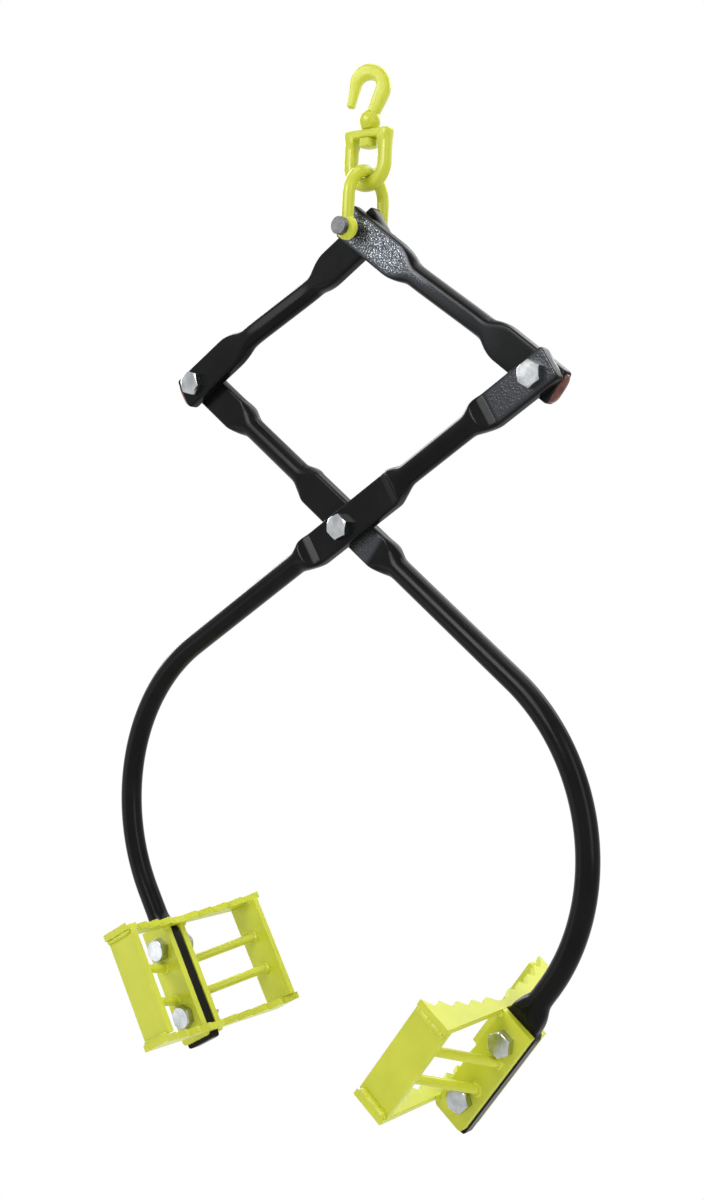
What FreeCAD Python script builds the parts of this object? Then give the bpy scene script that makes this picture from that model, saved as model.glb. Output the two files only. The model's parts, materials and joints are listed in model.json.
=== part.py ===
import FreeCAD, Part
import math
import os
from types import SimpleNamespace

# Lifting tongs: a hook, swivel bail and shackle carry two links, two crossed arms and two toothed jaws.
# Millimetres, +Z up. The origin is the bearing point inside the hook's bowl, with the tongs below it.
# X runs from the left jaw to the right jaw, and Y from front to back, along the pivots.

V = FreeCAD.Vector
FRONT_TO_BACK = V(0, 1, 0)
UP = V(0, 0, 1)

# Driving dimensions, each written once
SIZES = {
    # bar and hammered pads of the links and arms
    "bar_diameter": 19.0,
    "pad_width": 30.0,
    "pad_thickness": 11.0,
    "pad_past_pivot": 17.0,
    "pad_corner": 3.0,
    "nose_length": 22.0,
    "ramp_setback": 10.0,
    "layer_gap": 0.6,
    # linkage: four equal sides, so the loop closes at every opening
    "pivot_spacing": 216.0,
    "rest_half_angle": 55.5,
    "link_pad_full": 44.0,
    "link_strip_depth": 0.9,
    # arms
    "arm_pad_full": 45.0,
    "cross_pad_above": 55.0,
    "cross_pad_below": 33.0,
    "arm_nose_strip": 5.0,
    "lower_straight": 199.0,
    "bend_radius": 170.0,
    "bend_angle": 89.0,
    "bend_to_jaw": 88.0,
    "tail_pad_high": 53.5,
    "arm_end_past_clamp": 4.0,
    # jaws
    "plate_thickness": 6.0,
    "jaw_height": 106.0,
    "jaw_half_width": 85.0,
    "end_plate_inset": 3.5,
    "end_plate_width": 32.5,
    "clamp_width": 32.0,
    "clamp_past_jaw": 2.0,
    "clamp_corner": 4.0,
    "tooth_count_per_side": 5.0,
    "tooth_depth": 6.5,
    "tooth_flank_share": 0.42,
    "tip_rise": 18.0,
    "rod_diameter": 8.0,
    "rod_nut_clearance": 1.53,
    "rod_at_clamp": -5.0,
    "rod_at_end_plate": 30.0,
    "jaw_bolt_inset": 21.0,
    # bolts and nuts
    "bolt_diameter": 12.0,
    "bolt_head_flats": 19.0,
    "bolt_head_height": 7.5,
    "bolt_past_nut": 3.0,
    "nut_height": 10.0,
    "thread_clearance": 0.05,
    "pivot_clearance": 0.08,
    "open_pivot_clearance": 0.3,
    "jaw_hole_clearance": 0.3,
    "side_clearance": 0.3,
    "hex_chamfer_share": 0.95,
    "hex_chamfer_slope": 30.0,
    # how far each hex happens to be turned about its own axis
    "left_bolt_turn": 12.0,
    "right_bolt_turn": 25.0,
    "centre_bolt_turn": 35.0,
    "nut_turn": 17.0,
    "jaw_bolt_turn": 40.0,
    "jaw_nut_turn": 20.0,
    # hook and swivel
    "hook_bar": 12.0,
    "hook_bowl_radius": 5.8,
    "hook_bowl_offset": -1.5,
    "hook_reach": 34.0,
    "hook_tip_length": 17.0,
    "hook_tip_diameter": 7.6,
    "hook_tip_flare": 10.0,
    "hook_turn": 26.0,
    "collar_diameter": 16.5,
    "collar_seat_drop": 7.0,
    "shank_diameter": 9.0,
    "swivel_clearance": 0.08,
    "swivel_nut_flats": 14.0,
    "swivel_nut_height": 6.5,
    "shank_past_nut": 0.5,
    "bail_bar": 11.0,
    "bail_width": 46.0,
    "bail_depth": 13.0,
    "bail_top_thickness": 7.5,
    "bail_inside_height": 32.0,
    # shackle and pin
    "shackle_bar": 10.5,
    "shackle_leg_spacing": 46.0,
    "shackle_inside_height": 45.0,
    "shackle_eye_diameter": 20.0,
    "shackle_eye_thickness": 13.0,
    "chain_clearance": 0.3,
    "pin_diameter": 11.0,
    "pin_head_diameter": 14.6,
    "pin_head_thickness": 5.0,
    "pin_past_eye": 9.0,
    "cotter_diameter": 2.8,
    "cotter_clearance": 0.1,
    "cotter_from_eye": 4.0,
    "cotter_ring_diameter": 8.0,
    "cotter_leg_length": 6.0,
    "cotter_leg_spread": 35.0,
    "cotter_turn": -55.0,
}

doc = FreeCAD.newDocument("lifting_tongs")
sheet = doc.addObject("Spreadsheet::Sheet", "Sizes")
for row, (alias, number) in enumerate(SIZES.items(), start=1):
    sheet.set(f"A{row}", alias)
    sheet.set(f"B{row}", str(number))
    sheet.setAlias(f"B{row}", alias)
doc.recompute()
s = SimpleNamespace(**{alias: float(sheet.get(alias)) for alias in SIZES})


# Building blocks whose sizes are formulas on the sheet

def place(base=V(0, 0, 0), turn=FreeCAD.Rotation()):
    return FreeCAD.Placement(base, turn)


def axes(x_axis, z_axis):
    """The rotation that carries X to x_axis and Z to z_axis."""
    return FreeCAD.Rotation(x_axis, z_axis.cross(x_axis), z_axis, "ZXY")


def add(kind, name, placement, **formulas):
    item = doc.addObject(kind, name)
    for size, formula in formulas.items():
        item.setExpression(size, formula)
    item.Placement = placement
    return item


def rod(name, start, direction, radius, length):
    """A round bar from start along direction."""
    turn = FreeCAD.Rotation(UP, direction)
    return add("Part::Cylinder", name, place(start, turn), Radius=radius, Height=length)


def ball(name, centre, radius):
    return add("Part::Sphere", name, place(centre), Radius=radius)


def bent_bar(name, centre, towards, axis, bend, thickness, sweep):
    """A round bar bent about centre, starting in the direction towards and turning about axis."""
    turn = axes(towards, axis)
    return add("Part::Torus", name, place(centre, turn), Radius1=bend, Radius2=thickness, Angle3=sweep)


def block(name, corner, length, width, height, turn=FreeCAD.Rotation()):
    return add("Part::Box", name, place(corner, turn), Length=length, Width=width, Height=height)


def fuse(name, items):
    joined = doc.addObject("Part::MultiFuse", name)
    joined.Shapes = items
    return joined


def cut(name, body, tools):
    result = doc.addObject("Part::Cut", name)
    result.Base = body
    result.Tool = tools[0] if len(tools) == 1 else fuse(name + "_tools", tools)
    return result


def common(name, body, other):
    result = doc.addObject("Part::Common", name)
    result.Base = body
    result.Tool = other
    return result


def group(name, items):
    together = doc.addObject("Part::Compound", name)
    together.Links = items
    return together


def slab(name, outline, placement, thickness):
    """A flat piece: an outline in its own X-Z plane, thickened towards the back from placement."""
    sketch = doc.addObject("Sketcher::SketchObject", name + "_outline")
    sketch.addGeometry(outline, False)
    sketch.Placement = placement.multiply(place(turn=FreeCAD.Rotation(V(1, 0, 0), 90)))
    solid = doc.addObject("Part::Extrusion", name)
    solid.Base = sketch
    solid.DirMode = "Normal"
    solid.Reversed = True
    solid.Solid = True
    solid.setExpression("LengthFwd", thickness)
    return solid


nodes = []


def node(label, item, placement=None):
    """Names a finished sub-part, and puts it in its place."""
    item.Label = label
    if placement is not None:
        item.Placement = placement
    nodes.append(item)
    return item


# Places that follow from the sizes

bar_radius = s.bar_diameter / 2
half_pad = s.pad_width / 2
half_gap = s.layer_gap / 2
pad_outer = half_gap + s.pad_thickness
half_angle = math.radians(s.rest_half_angle)
side_reach = s.pivot_spacing * math.sin(half_angle)
side_drop = s.pivot_spacing * math.cos(half_angle)

collar_z = -s.hook_reach
bail_top_z = collar_z - s.collar_seat_drop - s.chain_clearance
bail_under_z = bail_top_z - s.bail_top_thickness
bail_inner_bottom_z = bail_under_z - s.bail_inside_height
crown_under_z = bail_inner_bottom_z + s.chain_clearance
pin_z = crown_under_z - s.shackle_inside_height

top_pin = V(0, 0, pin_z)
left_pivot = V(-side_reach, 0, pin_z - side_drop)
right_pivot = V(side_reach, 0, pin_z - side_drop)
centre_pivot = V(0, 0, pin_z - 2 * side_drop)

lean = 90 - s.rest_half_angle
half_turn = place(turn=FreeCAD.Rotation(UP, 180))
right_link_frame = place(top_pin, FreeCAD.Rotation(FRONT_TO_BACK, lean))
left_link_frame = place(left_pivot, FreeCAD.Rotation(FRONT_TO_BACK, -lean))
front_arm_frame = place(centre_pivot, FreeCAD.Rotation(FRONT_TO_BACK, -lean))
rear_arm_frame = half_turn.multiply(front_arm_frame)


# Hammered pads

nose_shoulder = half_pad - bar_radius
nose_radius = (s.nose_length ** 2 + nose_shoulder ** 2) / (2 * nose_shoulder)


def nose_reach(strip):
    """How far a nose runs from the pad's full width to a strip of half width strip."""
    return math.sqrt(nose_radius ** 2 - (nose_radius - half_pad + strip) ** 2)


def nose(full, strip, side, sign):
    """One rounded flank of a pad, from its full width at x = full."""
    reach = nose_reach(strip)
    middle_rise = math.sqrt(nose_radius ** 2 - reach ** 2 / 4) - nose_radius
    start = V(full, sign * half_pad, 0)
    middle = V(full + side * reach / 2, sign * (half_pad + middle_rise), 0)
    end = V(full + side * reach, sign * strip, 0)
    return start, middle, end


def rounded_corner(x, y, x_way, y_way, radius):
    """The arc that rounds a corner at (x, y), whose sides run off along x_way and y_way."""
    inset = radius * (1 - math.sqrt(0.5))
    return Part.Arc(V(x + x_way * radius, y, 0), V(x + x_way * inset, y + y_way * inset, 0),
                    V(x, y + y_way * radius, 0))


def pad_end(x, side, strip, has_nose):
    """The edges of one end of a pad, and where its straight flanks stop."""
    if has_nose:
        upper = nose(x, strip, side, 1)
        lower = nose(x, strip, side, -1)
        return [Part.Arc(*upper), Part.Arc(*lower), Part.LineSegment(upper[2], lower[2])], x
    cut_half = half_pad - s.pad_corner
    return [rounded_corner(x, half_pad, -side, -1, s.pad_corner),
            rounded_corner(x, -half_pad, -side, 1, s.pad_corner),
            Part.LineSegment(V(x, cut_half, 0), V(x, -cut_half, 0))], x - side * s.pad_corner


def pad_outline(low, high, strip, low_nose, high_nose):
    """A pad from x = low to x = high, with a rounded nose or a square cut at each end."""
    low_edges, flank_low = pad_end(low, -1, strip, low_nose)
    high_edges, flank_high = pad_end(high, 1, strip, high_nose)
    flanks = [Part.LineSegment(V(flank_low, y, 0), V(flank_high, y, 0)) for y in (half_pad, -half_pad)]
    return low_edges + high_edges + flanks


def ramp(name, foot, along, outwards):
    """A block that cuts the bar back to the pad's face; its slope rises along the bar at 45 degrees."""
    slope = (along + outwards).normalize()
    across = slope.cross(UP).normalize()
    if across.dot(outwards) < 0:
        across = -across
    turn = axes(slope, across)
    start = foot - slope * s.bar_diameter - turn.multVec(V(0, s.pad_width, 0))
    return block(name, start, "2 * Sizes.bar_diameter", "2 * Sizes.pad_width", "Sizes.bar_diameter",
                 turn)


# Links: a bar that steps from the front layer at one pad to the back layer at the other

def make_link(label):
    strip = math.sqrt(bar_radius ** 2 - (bar_radius - s.link_strip_depth) ** 2)
    front_face = -pad_outer
    back_face = half_gap
    axis_depth = bar_radius - s.link_strip_depth
    kink_x = s.link_pad_full + nose_reach(strip)
    ramp_x = s.link_pad_full + s.nose_length - s.ramp_setback
    near_kink = V(kink_x, front_face + axis_depth, 0)
    far_kink = V(s.pivot_spacing - kink_x, back_face + axis_depth, 0)
    step = far_kink - near_kink
    along = V(1, 0, 0)
    stub = kink_x - ramp_x
    near_outline = pad_outline(-s.pad_past_pivot, s.link_pad_full, strip, False, True)
    near_pad = slab(label + "_near_pad", near_outline, place(V(0, front_face, 0)), "Sizes.pad_thickness")
    far_outline = pad_outline(s.pivot_spacing - s.link_pad_full, s.pivot_spacing + s.pad_past_pivot,
                              strip, True, False)
    far_pad = slab(label + "_far_pad", far_outline, place(V(0, back_face, 0)), "Sizes.pad_thickness")
    radius = "Sizes.bar_diameter / 2"
    bar = fuse(label + "_bar", [
        rod(label + "_span", near_kink, step, radius, f"{step.Length}"),
        ball(label + "_near_kink", near_kink, radius),
        ball(label + "_far_kink", far_kink, radius),
        rod(label + "_near_stub", near_kink - along * stub, along, radius, f"{stub}"),
        rod(label + "_far_stub", far_kink, along, radius, f"{stub}")])
    tilt = FreeCAD.Rotation(along, step)
    lead = step / step.Length * s.bar_diameter
    facing_corner = near_kink - lead - V(0, 0, s.pad_width)
    facing_corner -= tilt.multVec(FRONT_TO_BACK) * (axis_depth + s.bar_diameter)
    near_corner = V(0, front_face - s.bar_diameter, -s.pad_width)
    far_corner = V(far_kink.x, back_face - s.bar_diameter, -s.pad_width)
    tall = "2 * Sizes.pad_width"
    deep = "Sizes.bar_diameter"
    shaped = cut(label + "_shaped_bar", bar, [
        block(label + "_facing", facing_corner, f"{step.Length + s.bar_diameter}", deep, tall, tilt),
        block(label + "_near_front", near_corner, f"{kink_x}", deep, tall),
        block(label + "_far_front", far_corner, f"{kink_x}", deep, tall),
        ramp(label + "_near_ramp", V(ramp_x, front_face + s.pad_thickness, 0), along, FRONT_TO_BACK),
        ramp(label + "_far_ramp", V(s.pivot_spacing - ramp_x, back_face + s.pad_thickness, 0),
             -along, FRONT_TO_BACK)])
    return fuse(label + "_forging", [near_pad, far_pad, shaped])


def pivot_hole(name, at, radius):
    """A hole along Y through both layers."""
    reach = 2 * s.bar_diameter
    return rod(name, at - FRONT_TO_BACK * reach, FRONT_TO_BACK, radius, "4 * Sizes.bar_diameter")


PIVOT_HOLE = "Sizes.bolt_diameter / 2 + Sizes.pivot_clearance"
OPEN_PIVOT_HOLE = "Sizes.bolt_diameter / 2 + Sizes.open_pivot_clearance"
SNUG_HOLE = "Sizes.bolt_diameter / 2 + Sizes.thread_clearance"
PIN_HOLE = "Sizes.pin_diameter / 2 + Sizes.pivot_clearance"
far_end = V(s.pivot_spacing, 0, 0)

right_link = cut("right_link_drilled", make_link("right_link"), [
    pivot_hole("right_link_pin_hole", V(0, 0, 0), PIN_HOLE),
    pivot_hole("right_link_bolt_hole", far_end, PIVOT_HOLE)])
node("right_link", right_link, right_link_frame)

left_link = cut("left_link_drilled", make_link("left_link"), [
    pivot_hole("left_link_bolt_hole", V(0, 0, 0), SNUG_HOLE),
    pivot_hole("left_link_pin_hole", far_end, PIN_HOLE)])
node("left_link", left_link, left_link_frame)


# Arms: X runs from the centre pivot up to the side pivot, and the lower bar bends towards -Z

bar_axis_y = -half_gap - bar_radius
bend = math.radians(s.bend_angle)
bend_end = V(-s.lower_straight - s.bend_radius * math.sin(bend), bar_axis_y,
             -s.bend_radius * (1 - math.cos(bend)))
heading = V(-math.cos(bend), 0, -math.sin(bend))
jaw_tilt = FreeCAD.Rotation(FRONT_TO_BACK, 90 - s.bend_angle)
jaw_in_arm = place(bend_end + heading * s.bend_to_jaw, jaw_tilt)
clamp_low = -s.jaw_height / 2 - s.clamp_past_jaw
flat_low = clamp_low - s.arm_end_past_clamp
flat_high = s.tail_pad_high
jaw_bolt_reach = s.jaw_height / 2 - s.jaw_bolt_inset
jaw_bolt_heights = (jaw_bolt_reach, -jaw_bolt_reach)
nut_corner_reach = s.bolt_head_flats / math.sqrt(3)
rod_reach = jaw_bolt_reach - nut_corner_reach - s.rod_nut_clearance - s.rod_diameter / 2


def make_arm(label, side_hole, centre_hole, jaw_hole):
    strip = s.arm_nose_strip / 2
    radius = "Sizes.bar_diameter / 2"
    along = V(1, 0, 0)
    outwards = V(0, -1, 0)
    upper_low = s.pivot_spacing - s.arm_pad_full
    upper_pad = slab(label + "_upper_pad",
                     pad_outline(upper_low, s.pivot_spacing + s.pad_past_pivot, strip, True, False),
                     place(V(0, -pad_outer, 0)), "Sizes.pad_thickness")
    cross_pad = slab(label + "_cross_pad",
                     pad_outline(-s.cross_pad_below, s.cross_pad_above, strip, True, True),
                     place(V(0, -pad_outer, 0)), "Sizes.pad_thickness")
    neck_to_ramp = s.nose_length - s.ramp_setback
    feet = {
        "upper": V(upper_low - neck_to_ramp, -pad_outer, 0),
        "above": V(s.cross_pad_above + neck_to_ramp, -pad_outer, 0),
        "below": V(-s.cross_pad_below - neck_to_ramp, -pad_outer, 0),
    }
    upper_bar = rod(label + "_upper_bar", V(feet["above"].x, bar_axis_y, 0), along, radius,
                    "Sizes.pivot_spacing - Sizes.arm_pad_full - Sizes.cross_pad_above"
                    " - 2 * (Sizes.nose_length - Sizes.ramp_setback)")
    lower_bar = rod(label + "_lower_bar", V(feet["below"].x, bar_axis_y, 0), -along, radius,
                    "Sizes.lower_straight - Sizes.cross_pad_below"
                    " - (Sizes.nose_length - Sizes.ramp_setback)")
    upper_cut = cut(label + "_upper_bar_ramped", upper_bar, [
        ramp(label + "_ramp_upper", feet["upper"], -along, outwards),
        ramp(label + "_ramp_above", feet["above"], along, outwards)])
    lower_cut = cut(label + "_lower_bar_ramped", lower_bar, [
        ramp(label + "_ramp_below", feet["below"], -along, outwards)])
    hoop = bent_bar(label + "_bend", V(-s.lower_straight, bar_axis_y, -s.bend_radius), UP, V(0, -1, 0),
                    "Sizes.bend_radius", radius, "Sizes.bend_angle")
    tail = rod(label + "_tail", bend_end, heading, radius, "Sizes.bend_to_jaw - Sizes.tail_pad_high"
               " - Sizes.ramp_setback + Sizes.bar_diameter / 2")
    half_flat = s.pad_thickness / 2
    foot = jaw_in_arm.multVec(V(0, 0, flat_high + s.ramp_setback))
    tail_cut = cut(label + "_tail_ramped", tail, [
        ramp(label + "_ramp_front", foot - FRONT_TO_BACK * half_flat, -heading, V(0, -1, 0)),
        ramp(label + "_ramp_back", foot + FRONT_TO_BACK * half_flat, -heading, V(0, 1, 0))])
    flat_frame = place(jaw_in_arm.Base - FRONT_TO_BACK * half_flat, jaw_tilt)
    quarter = place(turn=FreeCAD.Rotation(FRONT_TO_BACK, -90))
    flat = slab(label + "_jaw_flat", pad_outline(flat_low, flat_high, strip, False, True),
                flat_frame.multiply(quarter), "Sizes.pad_thickness")
    pieces = [upper_pad, cross_pad, flat, upper_cut, lower_cut, hoop, tail_cut]
    holes = [pivot_hole(label + "_side_hole", far_end, side_hole),
             pivot_hole(label + "_centre_hole", V(0, 0, 0), centre_hole)]
    for index, z in enumerate(jaw_bolt_heights):
        at = jaw_in_arm.multVec(V(0, 0, z))
        holes.append(pivot_hole(f"{label}_jaw_hole_{index}", at, jaw_hole))
    return cut(label + "_drilled", fuse(label + "_forging", pieces), holes)


JAW_HOLE = "Sizes.bolt_diameter / 2 + Sizes.jaw_hole_clearance"
node("front_arm", make_arm("front_arm", SNUG_HOLE, SNUG_HOLE, JAW_HOLE), front_arm_frame)
node("rear_arm", make_arm("rear_arm", PIVOT_HOLE, OPEN_PIVOT_HOLE, JAW_HOLE), rear_arm_frame)


# Hex bolts and nuts: the shank runs along +Z from the head's seat at z = 0

HEAD_CORNER = "Sizes.bolt_head_flats / 2 / cos(30 deg)"
CHAMFER = "Sizes.bolt_head_flats / 2 * Sizes.hex_chamfer_share"
SWIVEL_CORNER = "Sizes.swivel_nut_flats / 2 / cos(30 deg)"
SWIVEL_CHAMFER = "Sizes.swivel_nut_flats / 2 * Sizes.hex_chamfer_share"
BOLT_RADIUS = "Sizes.bolt_diameter / 2"
NUT_BORE = BOLT_RADIUS + " + Sizes.thread_clearance"


def hex_block(name, z, corner, height, chamfer, upwards):
    """A hexagon from z, with its corners turned off in a cone at its outer face."""
    foot = place(V(0, 0, z))
    prism = add("Part::Prism", name + "_hex", foot, Circumradius=corner, Height=height)
    wide = f"{chamfer} + ({height}) / tan(Sizes.hex_chamfer_slope * 1 deg)"
    small, large = (wide, chamfer) if upwards else (chamfer, wide)
    cone = add("Part::Cone", name + "_cone", foot, Radius1=small, Radius2=large, Height=height)
    return common(name, prism, cone)


def make_bolt(name, grip):
    """A hex bolt for a stack of the given thickness."""
    length = grip + s.nut_height + s.bolt_past_nut
    point = s.bolt_past_nut / 2
    head = hex_block(name + "_head", -s.bolt_head_height, HEAD_CORNER, "Sizes.bolt_head_height",
                     CHAMFER, False)
    shank = rod(name + "_shank", V(0, 0, 0), UP, BOLT_RADIUS, f"{length - point}")
    tip = add("Part::Cone", name + "_tip", place(V(0, 0, length - point)), Radius1=BOLT_RADIUS,
              Radius2=BOLT_RADIUS + " - Sizes.bolt_past_nut / 2", Height="Sizes.bolt_past_nut / 2")
    return fuse(name, [head, shank, tip])


def make_nut(name, corner, chamfer, height, hole):
    """A hex nut that stands on z = 0."""
    body = hex_block(name + "_body", 0, corner, height, chamfer, True)
    bore = rod(name + "_bore", V(0, 0, 0), UP, hole, height)
    return cut(name, body, [bore])


def pivot_frame(pivot, y, turn):
    """Along +Y from the seat at y, turned about its own axis."""
    spin = FreeCAD.Rotation(UP, turn)
    return place(V(pivot.x, y, pivot.z), FreeCAD.Rotation(UP, FRONT_TO_BACK).multiply(spin))


pivot_grip = 2 * pad_outer + s.side_clearance
for side, pivot, turn in (("left", left_pivot, s.left_bolt_turn), ("right", right_pivot, s.right_bolt_turn),
                          ("centre", centre_pivot, s.centre_bolt_turn)):
    bolt = make_bolt(f"{side}_pivot_bolt_solid", pivot_grip)
    node(f"{side}_pivot_bolt", bolt, pivot_frame(pivot, -pad_outer, turn))
    nut = make_nut(f"{side}_pivot_nut_solid", HEAD_CORNER, CHAMFER, "Sizes.nut_height", NUT_BORE)
    node(f"{side}_pivot_nut", nut, pivot_frame(pivot, pad_outer + s.side_clearance, turn + s.nut_turn))


# Jaws: X points at the load, Z runs up the arm's end and Y is the pivots' direction

half_height = s.jaw_height / 2
plate_inner = half_height - s.plate_thickness
clamp_grip_edge = s.clamp_width / 2
clamp_inner = s.pad_thickness / 2
clamp_outer = clamp_inner + s.plate_thickness
end_outer = s.jaw_half_width - s.end_plate_inset
end_inner = end_outer - s.plate_thickness
tip_reach = clamp_grip_edge + s.end_plate_width


def toothed_outline():
    """Teeth on a hollow arc: each has its steeper flank on the outer side."""
    arc_radius = (s.jaw_half_width ** 2 + s.tip_rise ** 2) / (2 * s.tip_rise)
    count = int(round(s.tooth_count_per_side))
    pitch = s.jaw_half_width / count

    def tip_x(y):
        return tip_reach - s.tip_rise + arc_radius - math.sqrt(arc_radius ** 2 - y ** 2)

    half = []
    for index in range(count):
        tip_y = s.jaw_half_width - index * pitch
        valley_y = tip_y - pitch * (1 - s.tooth_flank_share)
        half.append((tip_x(tip_y), tip_y))
        half.append((tip_x(valley_y) - s.tooth_depth, valley_y))
    back = [(clamp_grip_edge, -s.jaw_half_width), (clamp_grip_edge, s.jaw_half_width)]
    return back + half + [(x, -y) for x, y in reversed(half)]


def toothed_plate(label, z, frame):
    body = doc.addObject("PartDesign::Body", label + "_body")
    sketch = body.newObject("Sketcher::SketchObject", label + "_teeth")
    ground = next(item for item in body.Origin.OriginFeatures if item.Role == "XY_Plane")
    sketch.AttachmentSupport = [(ground, "")]
    sketch.MapMode = "FlatFace"
    corners = [V(x, y, 0) for x, y in toothed_outline()]
    closed = corners[1:] + corners[:1]
    sketch.addGeometry([Part.LineSegment(a, b) for a, b in zip(corners, closed)], False)
    pad = body.newObject("PartDesign::Pad", label + "_pad")
    pad.Profile = sketch
    pad.setExpression("Length", "Sizes.plate_thickness")
    node(label, body, frame.multiply(place(V(0, 0, z))))


def end_plate(label, y, frame):
    plate = block(label + "_plate", V(0, 0, 0), "Sizes.end_plate_width", "Sizes.plate_thickness",
                  "Sizes.jaw_height - 2 * Sizes.plate_thickness")
    node(label, plate, frame.multiply(place(V(clamp_grip_edge, y, -plate_inner))))


def clamp_outline():
    """A strip beside the arm's flat end, with its two lower corners rounded."""
    side = clamp_grip_edge
    low_side = clamp_low + s.clamp_corner
    low_run = side - s.clamp_corner
    return [Part.LineSegment(V(-side, half_height, 0), V(side, half_height, 0)),
            Part.LineSegment(V(side, half_height, 0), V(side, low_side, 0)),
            rounded_corner(side, clamp_low, -1, 1, s.clamp_corner),
            Part.LineSegment(V(low_run, clamp_low, 0), V(-low_run, clamp_low, 0)),
            rounded_corner(-side, clamp_low, 1, 1, s.clamp_corner),
            Part.LineSegment(V(-side, low_side, 0), V(-side, half_height, 0))]


def clamp_plate(label, y, frame):
    plate = slab(label + "_plate", clamp_outline(), place(V(0, y, 0)), "Sizes.plate_thickness")
    holes = [pivot_hole(f"{label}_hole_{index}", V(0, 0, z), JAW_HOLE)
             for index, z in enumerate(jaw_bolt_heights)]
    node(label, cut(label + "_drilled", plate, holes), frame)


def rods(label, side, frame):
    """Two slanted rods from a clamp plate out to an end plate, cut flush with both."""
    near = V(s.rod_at_clamp, side * clamp_outer, 0)
    far = V(s.rod_at_end_plate, side * end_inner, 0)
    run = far - near
    spare = run / run.Length * s.rod_diameter
    low_y = min(near.y, far.y)
    pair = []
    for index, z in enumerate((rod_reach, -rod_reach)):
        start = near - spare + V(0, 0, z)
        bar = rod(f"{label}_bar_{index}", start, run, "Sizes.rod_diameter / 2",
                  f"{run.Length + 2 * s.rod_diameter}")
        room = block(f"{label}_room_{index}", V(-s.clamp_width, low_y, z - s.rod_diameter),
                     "Sizes.clamp_width * 2 + Sizes.end_plate_width", f"{abs(run.y)}",
                     "2 * Sizes.rod_diameter")
        pair.append(common(f"{label}_{index}", bar, room))
    node(label, group(label + "_pair", pair), frame)


def jaw_fasteners(label, towards_back, frame):
    """Two bolts through the clamp plates with their heads at the front, and their nuts."""
    grip = 2 * clamp_outer
    bolts = []
    nuts = []
    aim = FreeCAD.Rotation(UP, towards_back)
    for index, z in enumerate(jaw_bolt_heights):
        middle = V(0, 0, z)
        bolt_spin = FreeCAD.Rotation(UP, s.jaw_bolt_turn * index)
        nut_spin = FreeCAD.Rotation(UP, s.jaw_nut_turn * index)
        bolt = make_bolt(f"{label}_bolt_{index}", grip)
        bolt.Placement = place(middle - towards_back * clamp_outer, aim.multiply(bolt_spin))
        nut = make_nut(f"{label}_nut_{index}", HEAD_CORNER, CHAMFER, "Sizes.nut_height", NUT_BORE)
        nut.Placement = place(middle + towards_back * clamp_outer, aim.multiply(nut_spin))
        bolts.append(bolt)
        nuts.append(nut)
    node(f"{label}_bolts", group(f"{label}_bolt_pair", bolts), frame)
    node(f"{label}_nuts", group(f"{label}_nut_pair", nuts), frame)


for side, arm_frame, back in (("left", front_arm_frame, 1), ("right", rear_arm_frame, -1)):
    jaw_frame = arm_frame.multiply(jaw_in_arm)
    toothed_plate(f"{side}_upper_toothed_plate", plate_inner, jaw_frame)
    toothed_plate(f"{side}_lower_toothed_plate", -half_height, jaw_frame)
    for name, facing in (("front", -back), ("rear", back)):
        end_low = min(facing * end_inner, facing * end_outer)
        clamp_near = min(facing * clamp_inner, facing * clamp_outer)
        end_plate(f"{side}_{name}_end_plate", end_low, jaw_frame)
        clamp_plate(f"{side}_{name}_clamp_plate", clamp_near, jaw_frame)
        rods(f"{side}_{name}_rods", facing, jaw_frame)
    jaw_fasteners(f"{side}_jaw", FRONT_TO_BACK * back, jaw_frame)


# Hook: shank and collar below, a straight limb that leans out, the bowl, and a tapered tip

hook_radius = s.hook_bar / 2
bowl_radius = s.hook_bowl_radius + hook_radius
bowl_centre = V(s.hook_bowl_offset, 0, -s.hook_bowl_radius)
collar = V(0, 0, collar_z)
to_bowl = bowl_centre - collar
limb_length = math.sqrt(to_bowl.Length ** 2 - bowl_radius ** 2)
limb_lean = math.atan2(to_bowl.x, to_bowl.z) + math.asin(bowl_radius / to_bowl.Length)
limb_way = V(math.sin(limb_lean), 0, math.cos(limb_lean))
bowl_start = V(math.cos(limb_lean), 0, -math.sin(limb_lean))
flare = math.radians(s.hook_tip_flare)
tip_root = bowl_centre + V(-math.cos(flare), 0, math.sin(flare)) * bowl_radius
tip_way = V(-math.sin(flare), 0, -math.cos(flare))
bowl_sweep = 180 + math.degrees(limb_lean) - s.hook_tip_flare
HOOK_RADIUS = "Sizes.hook_bar / 2"
TIP_RADIUS = "Sizes.hook_tip_diameter / 2"
SHANK_RADIUS = "Sizes.shank_diameter / 2"
limb = rod("hook_limb", collar, limb_way, HOOK_RADIUS, f"{limb_length}")
bowl = bent_bar("hook_bowl", bowl_centre, bowl_start, V(0, -1, 0),
                "Sizes.hook_bowl_radius + " + HOOK_RADIUS, HOOK_RADIUS, f"{bowl_sweep}")
tip = add("Part::Cone", "hook_tip", place(tip_root, FreeCAD.Rotation(UP, tip_way)), Radius1=HOOK_RADIUS,
          Radius2=TIP_RADIUS, Height="Sizes.hook_tip_length")
tip_end = ball("hook_tip_end", tip_root + tip_way * s.hook_tip_length, TIP_RADIUS)
collar_ball = ball("hook_collar_ball", collar, "Sizes.collar_diameter / 2")
seat_z = collar_z - s.collar_seat_drop
under_collar = block("hook_under_collar", V(-s.bail_width, -s.bail_width, seat_z - s.bail_width),
                     "2 * Sizes.bail_width", "2 * Sizes.bail_width", "Sizes.bail_width")
hook_bar = fuse("hook_forging", [limb, bowl, tip, tip_end, collar_ball])
upper_hook = cut("hook_above_seat", hook_bar, [under_collar])
nut_top_z = bail_under_z - s.chain_clearance
shank_end_z = nut_top_z - s.swivel_nut_height - s.shank_past_nut
shank = rod("hook_shank", V(0, 0, shank_end_z), UP, SHANK_RADIUS, f"{collar_z - shank_end_z}")
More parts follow.
